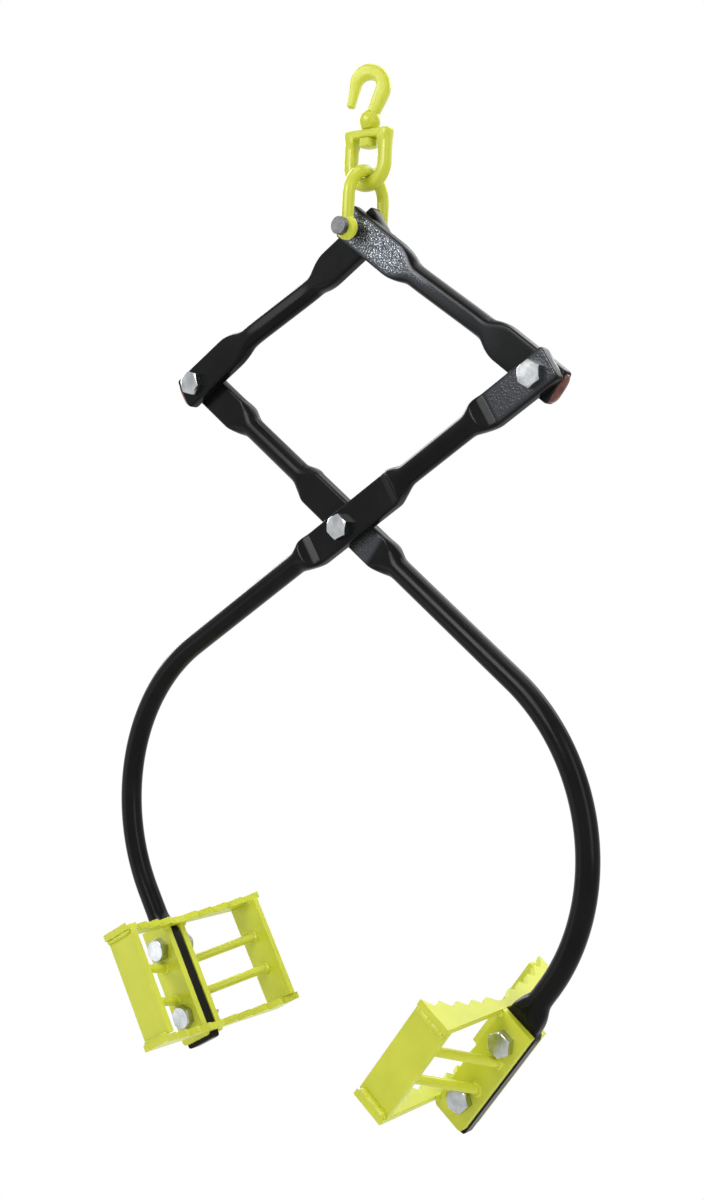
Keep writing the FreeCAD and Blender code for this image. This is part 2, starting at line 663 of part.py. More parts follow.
hook_frame = place(turn=FreeCAD.Rotation(UP, s.hook_turn))
node("hook", fuse("hook_solid", [upper_hook, shank]), hook_frame)

swivel_nut = make_nut("swivel_nut_solid", SWIVEL_CORNER, SWIVEL_CHAMFER, "Sizes.swivel_nut_height",
                      SHANK_RADIUS + " + Sizes.thread_clearance")
node("swivel_nut", swivel_nut, place(V(0, 0, nut_top_z), FreeCAD.Rotation(V(1, 0, 0), 180)))


# Swivel bail: a flat top with a hole, two legs and a round bottom

bail_radius = s.bail_bar / 2
leg_x = s.bail_width / 2 - bail_radius
bail_bend_z = bail_inner_bottom_z - bail_radius + leg_x
BAIL_RADIUS = "Sizes.bail_bar / 2"
bail_corner = V(-s.bail_width / 2, -s.bail_depth / 2, bail_under_z)
bail_pieces = [block("bail_top", bail_corner, "Sizes.bail_width", "Sizes.bail_depth",
                     "Sizes.bail_top_thickness")]
for index, x in enumerate((-leg_x, leg_x)):
    bail_pieces.append(rod(f"bail_leg_{index}", V(x, 0, bail_bend_z), UP, BAIL_RADIUS,
                           f"{bail_under_z - bail_bend_z + s.bail_top_thickness / 2}"))
bail_pieces.append(bent_bar("bail_bottom", V(0, 0, bail_bend_z), V(-1, 0, 0), V(0, -1, 0),
                            "(Sizes.bail_width - Sizes.bail_bar) / 2", BAIL_RADIUS, "180"))
shank_hole = rod("bail_shank_hole", V(0, 0, bail_under_z), UP, SHANK_RADIUS + " + Sizes.swivel_clearance",
                 "Sizes.bail_top_thickness")
node("swivel_bail", cut("bail_drilled", fuse("bail_forging", bail_pieces), [shank_hole]))


# Shackle: a rod bent over the bail's bottom, with an eye at each end

leg_y = s.shackle_leg_spacing / 2
crown_z = crown_under_z - leg_y + s.shackle_bar / 2
SHACKLE_RADIUS = "Sizes.shackle_bar / 2"
shackle_pieces = [bent_bar("shackle_crown", V(0, 0, crown_z), V(0, 1, 0), V(1, 0, 0),
                           "Sizes.shackle_leg_spacing / 2", SHACKLE_RADIUS, "180")]
for index, y in enumerate((-leg_y, leg_y)):
    leg = rod(f"shackle_leg_{index}", V(0, y, pin_z), UP, SHACKLE_RADIUS, f"{crown_z - pin_z}")
    eye_start = V(0, y - s.shackle_eye_thickness / 2, pin_z)
    eye = rod(f"shackle_eye_{index}", eye_start, FRONT_TO_BACK, "Sizes.shackle_eye_diameter / 2",
              "Sizes.shackle_eye_thickness")
    shackle_pieces.extend([leg, eye])
eye_holes = rod("shackle_pin_hole", V(0, -2 * leg_y, pin_z), FRONT_TO_BACK, PIN_HOLE,
                "2 * Sizes.shackle_leg_spacing")
node("shackle", cut("shackle_drilled", fuse("shackle_forging", shackle_pieces), [eye_holes]))


# Shackle pin with a plain round head, and the split cotter behind the rear eye

eye_face = leg_y + s.shackle_eye_thickness / 2
head_seat = -eye_face - s.side_clearance
pin_end = eye_face + s.pin_past_eye
cotter_y = eye_face + s.cotter_from_eye
pin_frame = place(top_pin, FreeCAD.Rotation(FRONT_TO_BACK, s.cotter_turn))
pin_head = rod("pin_head", V(0, head_seat - s.pin_head_thickness, 0), FRONT_TO_BACK,
               "Sizes.pin_head_diameter / 2", "Sizes.pin_head_thickness")
pin_shank = rod("pin_shank", V(0, head_seat, 0), FRONT_TO_BACK, "Sizes.pin_diameter / 2",
                f"{pin_end - head_seat}")
cotter_hole = rod("pin_cotter_hole", V(0, cotter_y, -s.pin_diameter), UP,
                  "Sizes.cotter_diameter / 2 + Sizes.cotter_clearance", "2 * Sizes.pin_diameter")
drilled_pin = cut("pin_drilled", fuse("pin_solid", [pin_head, pin_shank]), [cotter_hole])
node("shackle_pin", drilled_pin, pin_frame)

cotter_high = s.pin_diameter / 2 + s.cotter_diameter
cotter_foot = V(0, cotter_y, -cotter_high)
WIRE = "Sizes.cotter_diameter / 4"
ring_middle = V(0, cotter_y, cotter_high + s.cotter_ring_diameter / 2)
ring_place = place(ring_middle, FreeCAD.Rotation(V(1, 0, 0), 90))
cotter_pieces = [
    rod("cotter_shank", cotter_foot, UP, "Sizes.cotter_diameter / 2", f"{2 * cotter_high}"),
    add("Part::Torus", "cotter_ring", ring_place, Radius1="Sizes.cotter_ring_diameter / 2", Radius2=WIRE)]
spread = math.radians(s.cotter_leg_spread)
for index, side in enumerate((-1, 1)):
    leg_root = cotter_foot + V(side * s.cotter_diameter / 4, 0, s.cotter_diameter / 4)
    leg_way = V(side * math.sin(spread), 0, -math.cos(spread))
    cotter_pieces.append(rod(f"cotter_leg_{index}", leg_root, leg_way, WIRE, "Sizes.cotter_leg_length"))
node("pin_cotter", fuse("cotter_solid", cotter_pieces), pin_frame)


# Build, check and write

doc.recompute()
failed = [item.Name for item in doc.Objects if {"Invalid", "Error"} & set(item.State)]
if failed:
    raise RuntimeError(f"failed objects: {failed}")
for item in nodes:
    if item.Shape.isNull() or not item.Shape.isValid() or not item.Shape.Solids:
        raise RuntimeError(f"bad shape: {item.Label}")

os.makedirs("parts", exist_ok=True)
for item in nodes:
    item.Shape.exportStep(os.path.join("parts", f"{item.Label}.step"))
    print(f"{item.Label}: {len(item.Shape.Solids)} solids, {item.Shape.Volume / 1000:.2f} cm3")
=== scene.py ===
# %% [markdown]
# Lifting tongs. Two crossed arms carry toothed jaws, two links close them, and a shackle, a swivel bail
# and a hook hang them from a hoist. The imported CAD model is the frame: every new surface below is worked
# out in the same millimetres, placed from the frame's own pivots, and rides on one of its bodies.

# %% Load the frame
import json
import bpy
import numpy as np
from mathutils import Matrix, Vector

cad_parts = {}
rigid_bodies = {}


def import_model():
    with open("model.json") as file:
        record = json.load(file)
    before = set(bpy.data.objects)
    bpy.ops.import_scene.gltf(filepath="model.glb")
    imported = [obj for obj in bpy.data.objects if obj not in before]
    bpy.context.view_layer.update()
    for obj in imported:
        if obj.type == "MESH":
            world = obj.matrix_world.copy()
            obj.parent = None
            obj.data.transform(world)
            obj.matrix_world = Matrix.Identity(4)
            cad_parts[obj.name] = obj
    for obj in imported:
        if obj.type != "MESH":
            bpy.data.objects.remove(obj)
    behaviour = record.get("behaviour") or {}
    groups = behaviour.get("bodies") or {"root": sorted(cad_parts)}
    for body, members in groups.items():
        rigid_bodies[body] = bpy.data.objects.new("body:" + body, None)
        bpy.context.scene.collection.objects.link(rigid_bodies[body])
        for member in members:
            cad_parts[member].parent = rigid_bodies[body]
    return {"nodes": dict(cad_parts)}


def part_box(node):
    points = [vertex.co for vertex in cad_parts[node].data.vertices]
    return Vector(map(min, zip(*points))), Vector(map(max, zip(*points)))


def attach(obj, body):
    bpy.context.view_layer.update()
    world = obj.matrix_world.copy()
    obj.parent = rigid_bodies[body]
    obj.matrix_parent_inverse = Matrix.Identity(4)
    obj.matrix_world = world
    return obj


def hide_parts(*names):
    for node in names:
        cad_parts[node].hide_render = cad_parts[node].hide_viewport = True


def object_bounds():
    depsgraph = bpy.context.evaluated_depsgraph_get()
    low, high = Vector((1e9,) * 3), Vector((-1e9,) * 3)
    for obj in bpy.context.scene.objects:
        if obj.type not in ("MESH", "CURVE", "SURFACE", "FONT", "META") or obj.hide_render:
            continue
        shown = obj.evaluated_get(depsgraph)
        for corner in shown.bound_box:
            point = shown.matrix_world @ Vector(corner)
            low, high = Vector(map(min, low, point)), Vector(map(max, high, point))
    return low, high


for leftover in list(bpy.data.objects):
    bpy.data.objects.remove(leftover)
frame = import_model()
cad_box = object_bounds()

# %% [markdown]
# The camera stands to the right of the tongs, a little above their middle, and looks along their plane at
# about 38 degrees, so the near jaw shows its side and the far jaw its mouth. A constraint could aim it,
# but a camera that is also tipped and rolled is easier to repeat from three angles. They give three unit
# vectors: its right, its up and the direction behind it. The lens follows from the long side of the film
# and the focal length in picture heights.

# %% Camera
MM = 0.001
PICTURE = (704, 1200)
FILM = 36.0
CAMERA_AT = np.array([789.7, -990.6, -368.4])
CAMERA_TURN = 38.51
CAMERA_PITCH = -2.73
CAMERA_ROLL = 2.85
FOCAL_PIXELS = 1510.1
OPTICAL_CENTRE = (347.4, 597.2)
FARTHEST_SEEN = 100.0


def camera_axes(turn, pitch, roll):
    """Right, up and forward of a camera that is turned about the vertical, tipped and rolled, in degrees."""
    turn, pitch, roll = np.radians([turn, pitch, roll])
    level = np.array([np.cos(turn), np.sin(turn), 0.0])
    forward = np.array([-np.sin(turn) * np.cos(pitch), np.cos(turn) * np.cos(pitch), np.sin(pitch)])
    rise = np.cross(level, forward)
    right = np.cos(roll) * level + np.sin(roll) * rise
    up = np.cos(roll) * rise - np.sin(roll) * level
    return right, up, forward


right, up, forward = camera_axes(CAMERA_TURN, CAMERA_PITCH, CAMERA_ROLL)
pose = np.eye(4)
pose[:3, :3] = np.stack([right, up, -forward], axis=1)
pose[:3, 3] = CAMERA_AT * MM
lens = bpy.data.cameras.new("studio_camera")
lens.sensor_width = FILM
lens.lens = FOCAL_PIXELS / PICTURE[1] * FILM
lens.shift_x = (PICTURE[0] / 2 - OPTICAL_CENTRE[0]) / PICTURE[1]
lens.shift_y = (OPTICAL_CENTRE[1] - PICTURE[1] / 2) / PICTURE[1]
lens.clip_end = FARTHEST_SEEN
camera = bpy.data.objects.new("studio_camera", lens)
camera.matrix_world = Matrix(pose.tolist())
bpy.context.scene.collection.objects.link(camera)
bpy.context.scene.camera = camera
print("lens", round(lens.lens, 2), "mm")

# %% [markdown]
# The tongs hang in a white studio. The floor is far enough below that their shadow falls under the
# picture. Stronger lamps could turn the background white, but they would bleach the paint too. So the
# white that the camera and reflections see comes from Light Path, and no more light falls on the paint.

# %% White studio
FLOOR_DROP = 0.75
FLOOR_HALF = 14.0
FLOOR_COLOUR = (0.93, 0.93, 0.93, 1)
WHITE = (1, 1, 1, 1)
WORLD_FILL = 0.36
SEEN_WHITE = 1.0


def white_for_eyes(tree, plain, white):
    """Mixes a shader with white for the rays that look: camera, mirror and see-through rays."""
    path = tree.nodes.new("ShaderNodeLightPath")
    looks = path.outputs["Is Camera Ray"]
    for kind in ("Is Glossy Ray", "Is Transmission Ray"):
        either = tree.nodes.new("ShaderNodeMath")
        either.operation = "MAXIMUM"
        tree.links.new(looks, either.inputs[0])
        tree.links.new(path.outputs[kind], either.inputs[1])
        looks = either.outputs[0]
    mix = tree.nodes.new("ShaderNodeMixShader")
    tree.links.new(looks, mix.inputs[0])
    tree.links.new(plain.outputs[0], mix.inputs[1])
    tree.links.new(white.outputs[0], mix.inputs[2])
    return mix.outputs[0]


def white_sky(tree, strength):
    """A white background shader of a given strength."""
    light = tree.nodes.new("ShaderNodeBackground")
    light.inputs["Color"].default_value = WHITE
    light.inputs["Strength"].default_value = strength
    return light


world = bpy.data.worlds.new("white_studio")
world.use_nodes = True
sky = world.node_tree
sky.nodes.clear()
sky_light = white_for_eyes(sky, white_sky(sky, WORLD_FILL), white_sky(sky, SEEN_WHITE))
sky_out = sky.nodes.new("ShaderNodeOutputWorld")
sky.links.new(sky_light, sky_out.inputs["Surface"])
bpy.context.scene.world = world

floor_z = cad_box[0][2] - FLOOR_DROP
floor_corners = np.array([[-1, -1, 0], [1, -1, 0], [1, 1, 0], [-1, 1, 0]]) * FLOOR_HALF
floor_corners = floor_corners + np.array([0, 0, floor_z])
floor_mesh = bpy.data.meshes.new("studio_floor")
floor_mesh.from_pydata(floor_corners.tolist(), [], [[0, 1, 2, 3]])
floor = bpy.data.objects.new("studio_floor", floor_mesh)
bpy.context.scene.collection.objects.link(floor)
floor_paint = bpy.data.materials.new("pale_floor")
floor_paint.use_nodes = True
floor_tree = floor_paint.node_tree
floor_tree.nodes.clear()
matt = floor_tree.nodes.new("ShaderNodeBsdfDiffuse")
matt.inputs["Color"].default_value = FLOOR_COLOUR
glow = floor_tree.nodes.new("ShaderNodeEmission")
glow.inputs["Strength"].default_value = SEEN_WHITE
floor_out = floor_tree.nodes.new("ShaderNodeOutputMaterial")
floor_tree.links.new(white_for_eyes(floor_tree, matt, glow), floor_out.inputs["Surface"])
floor_mesh.materials.append(floor_paint)
bpy.context.scene.view_settings.view_transform = "Standard"
print("floor at", round(floor_z, 3), "m")

# %% [markdown]
# Large soft lamps at a plain level give the long highlights on the bars. Black paint shows little but
# what it mirrors, and a photographer would hold a white card where its gleam should be. The sheen lamp is
# that card: it shows only in reflections and adds nothing to the plain light on the paint.

# %% Lamps
MIDDLE = (0.0, 0.0, -0.42)


def soft_lamp(name, at, size, watts, sheen_only=False):
    """A rectangular lamp at a point in metres, facing the middle of the tongs."""
    data = bpy.data.lights.new(name, "AREA")
    data.shape = "RECTANGLE"
    data.size, data.size_y = size
    data.energy = watts
    lamp = bpy.data.objects.new(name, data)
    way = Vector(MIDDLE) - Vector(at)
    lamp.rotation_euler = way.to_track_quat("-Z", "Y").to_euler()
    lamp.location = at
    lamp.visible_diffuse = not sheen_only
    bpy.context.scene.collection.objects.link(lamp)


soft_lamp("key_lamp", (-0.82, -2.26, 1.02), (1.5, 1.5), 33.0)
soft_lamp("sheen_lamp", (-0.16, -2.27, 0.74), (1.5, 1.2), 45.0, sheen_only=True)
soft_lamp("low_lamp", (-1.63, -1.6, -1.14), (1.2, 0.8), 3.0)
soft_lamp("rim_lamp", (-2.0, 0.7, 0.6), (1.0, 1.8), 36.0)
soft_lamp("side_lamp", (2.3, -0.6, 0.2), (0.9, 2.2), 22.0)
soft_lamp("top_lamp", (0.3, 0.4, 1.9), (1.6, 1.6), 27.0)
soft_lamp("back_lamp", (0.25, 1.85, 1.1), (1.6, 1.4), 22.0)
print("lamps:", [lamp.name for lamp in bpy.data.lights])

# %% [markdown]
# Paint is never one flat colour. An image could show that, but it would need unwrapping and would be tied
# to one size. Three small effects are shared by the finishes instead, each a node group: mottle shifts a
# colour and a roughness in soft patches, orange_peel is the dimpled skin of sprayed paint as a height,
# and flecks are round specks as a mask. They read Object coordinates, which are metres in the same frame
# for all pieces, so the grain has one scale everywhere.

# %% Shared effects
COLOUR = "NodeSocketColor"
NUMBER = "NodeSocketFloat"


def effect_group(name, inputs, outputs):
    """A new node group with float or colour sockets; returns its tree, the sockets that it is given and the
    sockets that it puts out."""
    tree = bpy.data.node_groups.new(name, "ShaderNodeTree")
    for label, kind, value in inputs:
        socket = tree.interface.new_socket(label, in_out="INPUT", socket_type=kind)
        socket.default_value = value
    for label, kind in outputs:
        tree.interface.new_socket(label, in_out="OUTPUT", socket_type=kind)
    return tree, tree.nodes.new("NodeGroupInput").outputs, tree.nodes.new("NodeGroupOutput").inputs


def feed(tree, value, socket):
    """Links a value that is a socket itself, or else writes it into the socket as a constant."""
    if isinstance(value, bpy.types.NodeSocket):
        tree.links.new(value, socket)
    else:
        socket.default_value = value


def spread(tree, value, found, wanted):
    """Maps a value from one range to another, clamped. Each range is its low and its high end."""
    node = tree.nodes.new("ShaderNodeMapRange")
    feed(tree, value, node.inputs["Value"])
    for label, end in zip(("From Min", "From Max", "To Min", "To Max"), (*found, *wanted)):
        feed(tree, end, node.inputs[label])
    return node.outputs["Result"]


def product(tree, one, other):
    """Two values multiplied."""
    node = tree.nodes.new("ShaderNodeMath")
    node.operation = "MULTIPLY"
    feed(tree, one, node.inputs[0])
    feed(tree, other, node.inputs[1])
    return node.outputs[0]


def mix_colours(tree, factor, plain, tint):
    """A colour shifted towards a tint by a factor."""
    node = tree.nodes.new("ShaderNodeMix")
    node.data_type = "RGBA"
    feed(tree, factor, node.inputs["Factor"])
    feed(tree, plain, node.inputs["A"])
    feed(tree, tint, node.inputs["B"])
    return node.outputs["Result"]


def in_metres(tree):
    """The place of each point in the frame."""
    return tree.nodes.new("ShaderNodeTexCoord").outputs["Object"]


def noise(tree, scale, detail, roughness):
    """Cloudy values from 0 to 1; scale is how many clouds there are to a metre."""
    grain = tree.nodes.new("ShaderNodeTexNoise")
    grain.inputs["Detail"].default_value = detail
    grain.inputs["Roughness"].default_value = roughness
    feed(tree, scale, grain.inputs["Scale"])
    feed(tree, in_metres(tree), grain.inputs["Vector"])
    return grain.outputs["Fac"]


tree, given, put = effect_group(
    "mottle",
    [("Low Colour", COLOUR, (0, 0, 0, 1)), ("High Colour", COLOUR, (1, 1, 1, 1)), ("Scale", NUMBER, 30.0),
     ("Smoothest", NUMBER, 0.3), ("Roughest", NUMBER, 0.45)],
    [("Colour", COLOUR), ("Roughness", NUMBER)])
patch = noise(tree, given["Scale"], detail=3.0, roughness=0.55)
shade = spread(tree, patch, (0.32, 0.68), (0.0, 1.0))
feed(tree, mix_colours(tree, shade, given["Low Colour"], given["High Colour"]), put["Colour"])
feed(tree, spread(tree, patch, (0.25, 0.75), (given["Smoothest"], given["Roughest"])), put["Roughness"])

tree, given, put = effect_group(
    "orange_peel",
    [("Scale", NUMBER, 700.0), ("Amount", NUMBER, 1.0)],
    [("Height", NUMBER)])
dimple = noise(tree, given["Scale"], detail=2.0, roughness=0.5)
feed(tree, product(tree, dimple, given["Amount"]), put["Height"])

tree, given, put = effect_group(
    "flecks",
    [("Scale", NUMBER, 260.0), ("Speck Size", NUMBER, 0.06)],
    [("Mask", NUMBER)])
cells = tree.nodes.new("ShaderNodeTexVoronoi")
feed(tree, given["Scale"], cells.inputs["Scale"])
feed(tree, in_metres(tree), cells.inputs["Vector"])
feed(tree, spread(tree, cells.outputs["Distance"], (0.0, given["Speck Size"]), (1.0, 0.0)), put["Mask"])
print("effects:", [group.name for group in bpy.data.node_groups])

# %% [markdown]
# Five finishes cover the tongs. The first is the lime gloss paint of the hanging gear and the jaws. Each
# finish is a Principled shader whose constant numbers sit on its own sockets, and only what varies over
# the surface comes from a shared effect. A thin clear coat gives the paint its gleam without making it
# look wet.

# %% Lime paint


def new_finish(name, **constants):
    """A material with one Principled shader; keyword names are socket names with _ for spaces."""
    finish = bpy.data.materials.new(name)
    finish.use_nodes = True
    shader = finish.node_tree.nodes["Principled BSDF"]
    for label, value in constants.items():
        shader.inputs[label.replace("_", " ")].default_value = value
    return finish, finish.node_tree, shader


def use_group(tree, group, **values):
    """Places a shared effect in a material with its own values."""
    node = tree.nodes.new("ShaderNodeGroup")
    node.node_tree = bpy.data.node_groups[group]
    for label, value in values.items():
        node.inputs[label.replace("_", " ")].default_value = value
    return node


def coat_colours(tree, shader, **values):
    """Colour and roughness from the mottle effect; returns the colour for finishes that go on from it."""
    mottle = use_group(tree, "mottle", **values)
    feed(tree, mottle.outputs["Colour"], shader.inputs["Base Color"])
    feed(tree, mottle.outputs["Roughness"], shader.inputs["Roughness"])
    return mottle.outputs["Colour"]


def peel_skin(tree, shader, scale, strength, depth):
    """Dimples from the orange_peel effect, fed to the shader's normal through a Bump node of a depth in
    metres."""
    peel = use_group(tree, "orange_peel", Scale=scale, Amount=1.0)
    bump = tree.nodes.new("ShaderNodeBump")
    bump.inputs["Strength"].default_value = strength
    bump.inputs["Distance"].default_value = depth
    feed(tree, peel.outputs["Height"], bump.inputs["Height"])
    feed(tree, bump.outputs["Normal"], shader.inputs["Normal"])
    return peel


lime_paint, tree, shader = new_finish("lime_gloss_paint", Specular_IOR_Level=0.3, Coat_Weight=0.2,
                                      Coat_Roughness=0.18)
coat_colours(tree, shader, Low_Colour=(0.555, 0.594, 0.029, 1), High_Colour=(0.625, 0.662, 0.044, 1),
             Scale=34.0, Smoothest=0.34, Roughest=0.48)
peel_skin(tree, shader, scale=620.0, strength=0.05, depth=0.0003)
print("finish:", lime_paint.name)

# %% [markdown]
# The black paint of the forgings is smooth on the bars, with a speck of dust here and there. On the flat
# pads it covers hammer marks, and some pads get a painted sheen: a grey tone painted where they catch the
# light, with bright painted glints. One material does all of this: a mesh attribute says how much of both
# each point gets. It shifts the colour to the painted grey, makes the paint more metallic, deepens the
# dimples, and near 1 lets the painted glints through.

# %% Black paint
DUST_GREY = (0.11, 0.11, 0.11, 1)
# Painted sheen: the grey that hammered pads show where they catch the light, painted into the colour.
PAINTED_SHEEN_GREY = (0.072, 0.076, 0.084, 1)
# Painted glints: bright specks of reflected light painted into the colour of the roughest pads.
PAINTED_GLINT_GREY = (0.50, 0.54, 0.60, 1)

black_paint, tree, shader = new_finish("black_gloss_paint", Specular_IOR_Level=0.09)
plain_black = coat_colours(tree, shader, Low_Colour=(0.0036, 0.0036, 0.0036, 1),
                           High_Colour=(0.0066, 0.0066, 0.0066, 1), Scale=26.0, Smoothest=0.16, Roughest=0.27)
dust = use_group(tree, "flecks", Scale=95.0, Speck_Size=0.035)
# The finer flecks are painted glints; the coarser ones above are dust.
painted_glints = use_group(tree, "flecks", Scale=600.0, Speck_Size=0.5)
attribute = tree.nodes.new("ShaderNodeAttribute")
attribute.attribute_name = "hammer_and_painted_sheen"
hammer_and_painted_sheen = attribute.outputs["Fac"]
dusty = mix_colours(tree, dust.outputs["Mask"], plain_black, DUST_GREY)
# Where the mask is high, the colour takes the painted grey sheen.
with_painted_sheen = mix_colours(tree, hammer_and_painted_sheen, dusty, PAINTED_SHEEN_GREY)
painted_glint_mask = product(tree, painted_glints.outputs["Mask"], spread(tree, hammer_and_painted_sheen, (0.7, 1.0), (0.0, 1.0)))
feed(tree, mix_colours(tree, painted_glint_mask, with_painted_sheen, PAINTED_GLINT_GREY), shader.inputs["Base Color"])
feed(tree, spread(tree, hammer_and_painted_sheen, (0.0, 1.0), (0.0, 0.75)), shader.inputs["Metallic"])
peel = peel_skin(tree, shader, scale=640.0, strength=0.85, depth=0.0012)
feed(tree, spread(tree, hammer_and_painted_sheen, (0.55, 1.0), (0.03, 1.0)), peel.inputs["Amount"])
print("finish:", black_paint.name)

# %% [markdown]
# Three small finishes remain: bright zinc on the bolts and nuts, plain grey steel on the shackle pin, and
# the bare red-brown saw cuts at the ends of the links. They could be flat metal colours, but plating has
# cloudy patches and cut steel a fine grain, so they use the same two effects with other numbers.

# %% Metals and bare ends
zinc_plate, tree, shader = new_finish("bright_zinc", Metallic=1.0)
coat_colours(tree, shader, Low_Colour=(0.34, 0.36, 0.37, 1), High_Colour=(0.52, 0.54, 0.55, 1),
             Scale=90.0, Smoothest=0.13, Roughest=0.24)
peel_skin(tree, shader, scale=420.0, strength=0.08, depth=0.0004)

plain_steel, tree, shader = new_finish("plain_steel", Metallic=1.0)
coat_colours(tree, shader, Low_Colour=(0.080, 0.080, 0.084, 1), High_Colour=(0.145, 0.145, 0.15, 1),
             Scale=240.0, Smoothest=0.34, Roughest=0.58)
peel_skin(tree, shader, scale=700.0, strength=0.3, depth=0.0005)

bare_end, tree, shader = new_finish("bare_red_brown")
coat_colours(tree, shader, Low_Colour=(0.075, 0.016, 0.010, 1), High_Colour=(0.150, 0.038, 0.026, 1),
             Scale=300.0, Smoothest=0.18, Roughest=0.34)
peel_skin(tree, shader, scale=800.0, strength=0.4, depth=0.0005)
print("finishes:", [finish.name for finish in bpy.data.materials])

# %% [markdown]
# All new pieces are grids of points: rows along a path and columns round a section. Extruding by hand
# gives such tubes too, but a formula can be measured and repeated. These helpers join a grid into faces,
# close its ends, check that the faces point outwards by the sign of the enclosed volume, and hand the
# mesh to the frame.

# %% Surface helpers


def full_turn(columns):
    """Angles once round a section, the last one a step short of the first."""
    return np.linspace(0, 2 * np.pi, columns, endpoint=False)


def squared_off(wave, power):
    """A sine or cosine to a power, with its sign kept. Powers under 1 turn a circle into a superellipse."""
    return np.sign(wave) * np.abs(wave) ** power


def ring_faces(rows, columns):
    """Quads between neighbouring rows of a tube, whose columns wrap round."""
    i, j = np.meshgrid(np.arange(rows - 1), np.arange(columns), indexing="ij")
    k = (j + 1) % columns
    corners = [i * columns + j, (i + 1) * columns + j, (i + 1) * columns + k, i * columns + k]
    return np.stack(corners, -1).reshape(-1, 4)


def tube_shell(rings, start_crown=0.0, end_crown=0.0):
    """Points and faces of a closed tube: rings is rows x columns x 3, and each end is fanned to a pole, which
    stands out from the last ring by its crown."""
    rows, columns = rings.shape[:2]
    middles = rings.mean(axis=1)
    poles = []
    for end, inside, crown in ((0, 1, start_crown), (-1, -2, end_crown)):
        way = middles[end] - middles[inside]
        poles.append(middles[end] + crown * way / max(np.linalg.norm(way), 1e-9))
    points = np.concatenate([rings.reshape(-1, 3), poles])
    column = np.arange(columns)
    following = (column + 1) % columns
    first_pole = np.full(columns, rows * columns)
    low_cap = np.stack([first_pole, column, following], -1)
    base = (rows - 1) * columns
    high_cap = np.stack([first_pole + 1, base + following, base + column], -1)
    return points, ring_faces(rows, columns), np.concatenate([low_cap, high_cap])


def loop_shell(rings):
    """Points and faces of a tube whose last row meets its first, so it has no ends to close."""
    rows, columns = rings.shape[:2]
    quads = ring_faces(rows + 1, columns) % (rows * columns)
    return rings.reshape(-1, 3), quads, np.zeros((0, 3), int)


def outwards(points, quads, triangles):
    """Turns all faces over if the volume they enclose is negative."""
    all_triangles = np.concatenate([quads[:, :3], quads[:, [0, 2, 3]], triangles])
    a, b, c = (points[all_triangles[:, k]] for k in range(3))
    if np.einsum("ij,ij->i", a, np.cross(b, c)).sum() < 0:
        return quads[:, ::-1], triangles[:, ::-1]
    return quads, triangles


def join_shells(shells):
    """Several closed shells as one list of points, quads and triangles."""
    points, quads, triangles = [], [], []
    count = 0
    for shell in shells:
        shell_quads, shell_triangles = outwards(*shell)
        points.append(shell[0])
        quads.append(shell_quads + count)
        triangles.append(shell_triangles + count)
        count += len(shell[0])
    return np.concatenate(points), np.concatenate(quads), np.concatenate(triangles)


def new_piece(name, shells, finish, body, replaced=(), mask=None):
    """A smooth-shaded mesh in metres from shells in millimetres, riding on a body."""
    points, quads, triangles = join_shells(shells)
    mesh = bpy.data.meshes.new(name)
    mesh.from_pydata((points * MM).tolist(), [], quads.tolist() + triangles.tolist())
    mesh.polygons.foreach_set("use_smooth", np.ones(len(mesh.polygons), bool))
    if mask is not None:
        # The mask of hammer marks and painted sheen rides on the mesh as a point attribute.
        layer = mesh.attributes.new("hammer_and_painted_sheen", "FLOAT", "POINT")
        layer.data.foreach_set("value", mask.astype(np.float32))
    mesh.materials.append(finish)
    mesh.validate()
    piece = bpy.data.objects.new(name, mesh)
    bpy.context.scene.collection.objects.link(piece)
    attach(piece, body)
    if replaced:
        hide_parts(*replaced)
    print(name, len(mesh.vertices), "points")
    return piece


print("a tube of 3 rows and 8 columns has", len(ring_faces(3, 8)), "quads")

# %% [markdown]
# The linkage is a diamond of four equal sides between four pivots. Their places could be typed in, but
# they are read from the frame's own bolts and pin, so the forgings sit on them whatever the frame says.

# %% Pivots


def pivot_of(node):
    """Middle of a bolt or pin, in millimetres, in the plane of the tongs."""
    low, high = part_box(node)
    return np.array([(low.x + high.x) / 2, 0.0, (low.z + high.z) / 2]) / MM


top_pin = pivot_of("shackle_pin")
left_pivot = pivot_of("left_pivot_bolt")
right_pivot = pivot_of("right_pivot_bolt")
centre_pivot = pivot_of("centre_pivot_bolt")
top_pin[0] = centre_pivot[0]
SIDE = np.linalg.norm(right_pivot - centre_pivot)
LEAN = np.degrees(np.arctan2(right_pivot[2] - centre_pivot[2], right_pivot[0] - centre_pivot[0]))
print("side of the linkage", round(SIDE, 2), "mm, leaning", round(LEAN, 2), "degrees")
print("pivots", top_pin.round(1), left_pivot.round(1), centre_pivot.round(1))

# %% [markdown]
# The four forgings are round bar whose ends were hammered flat. A hammered bar keeps rounded flanks and
# gets flat faces, so each section is a superellipse shaved by a front plane and a back plane. Carrying
# that section along the bar, with its width, depth and planes changing at each pad, gives the leaf-shaped
# noses and the sloped shoulders without any boolean cut. The share of the flat faces is kept for the mask
# of hammer marks and painted sheen.

# %% Forged sections
BAR = 9.5
HALF_PAD = 15.0
PAD_THICK = 11.0
PAD_BULGE = 7.4
PAD_SQUARENESS = 4.0
ROUND_SQUARENESS = 2.0
PAST_PIVOT = 17.0
LAYER_GAP = 0.3
EDGE_SHARPNESS = 22.0
SECTION_COLUMNS = 120
NOSE = 22.0
NOSE_LIMIT = 1.5 * NOSE
NOSE_RADIUS = (NOSE ** 2 + (HALF_PAD - BAR) ** 2) / (2 * (HALF_PAD - BAR))
NECK_SOFTNESS = 0.9
END_CORNER = 3.0
END_ROUNDING = 1.2


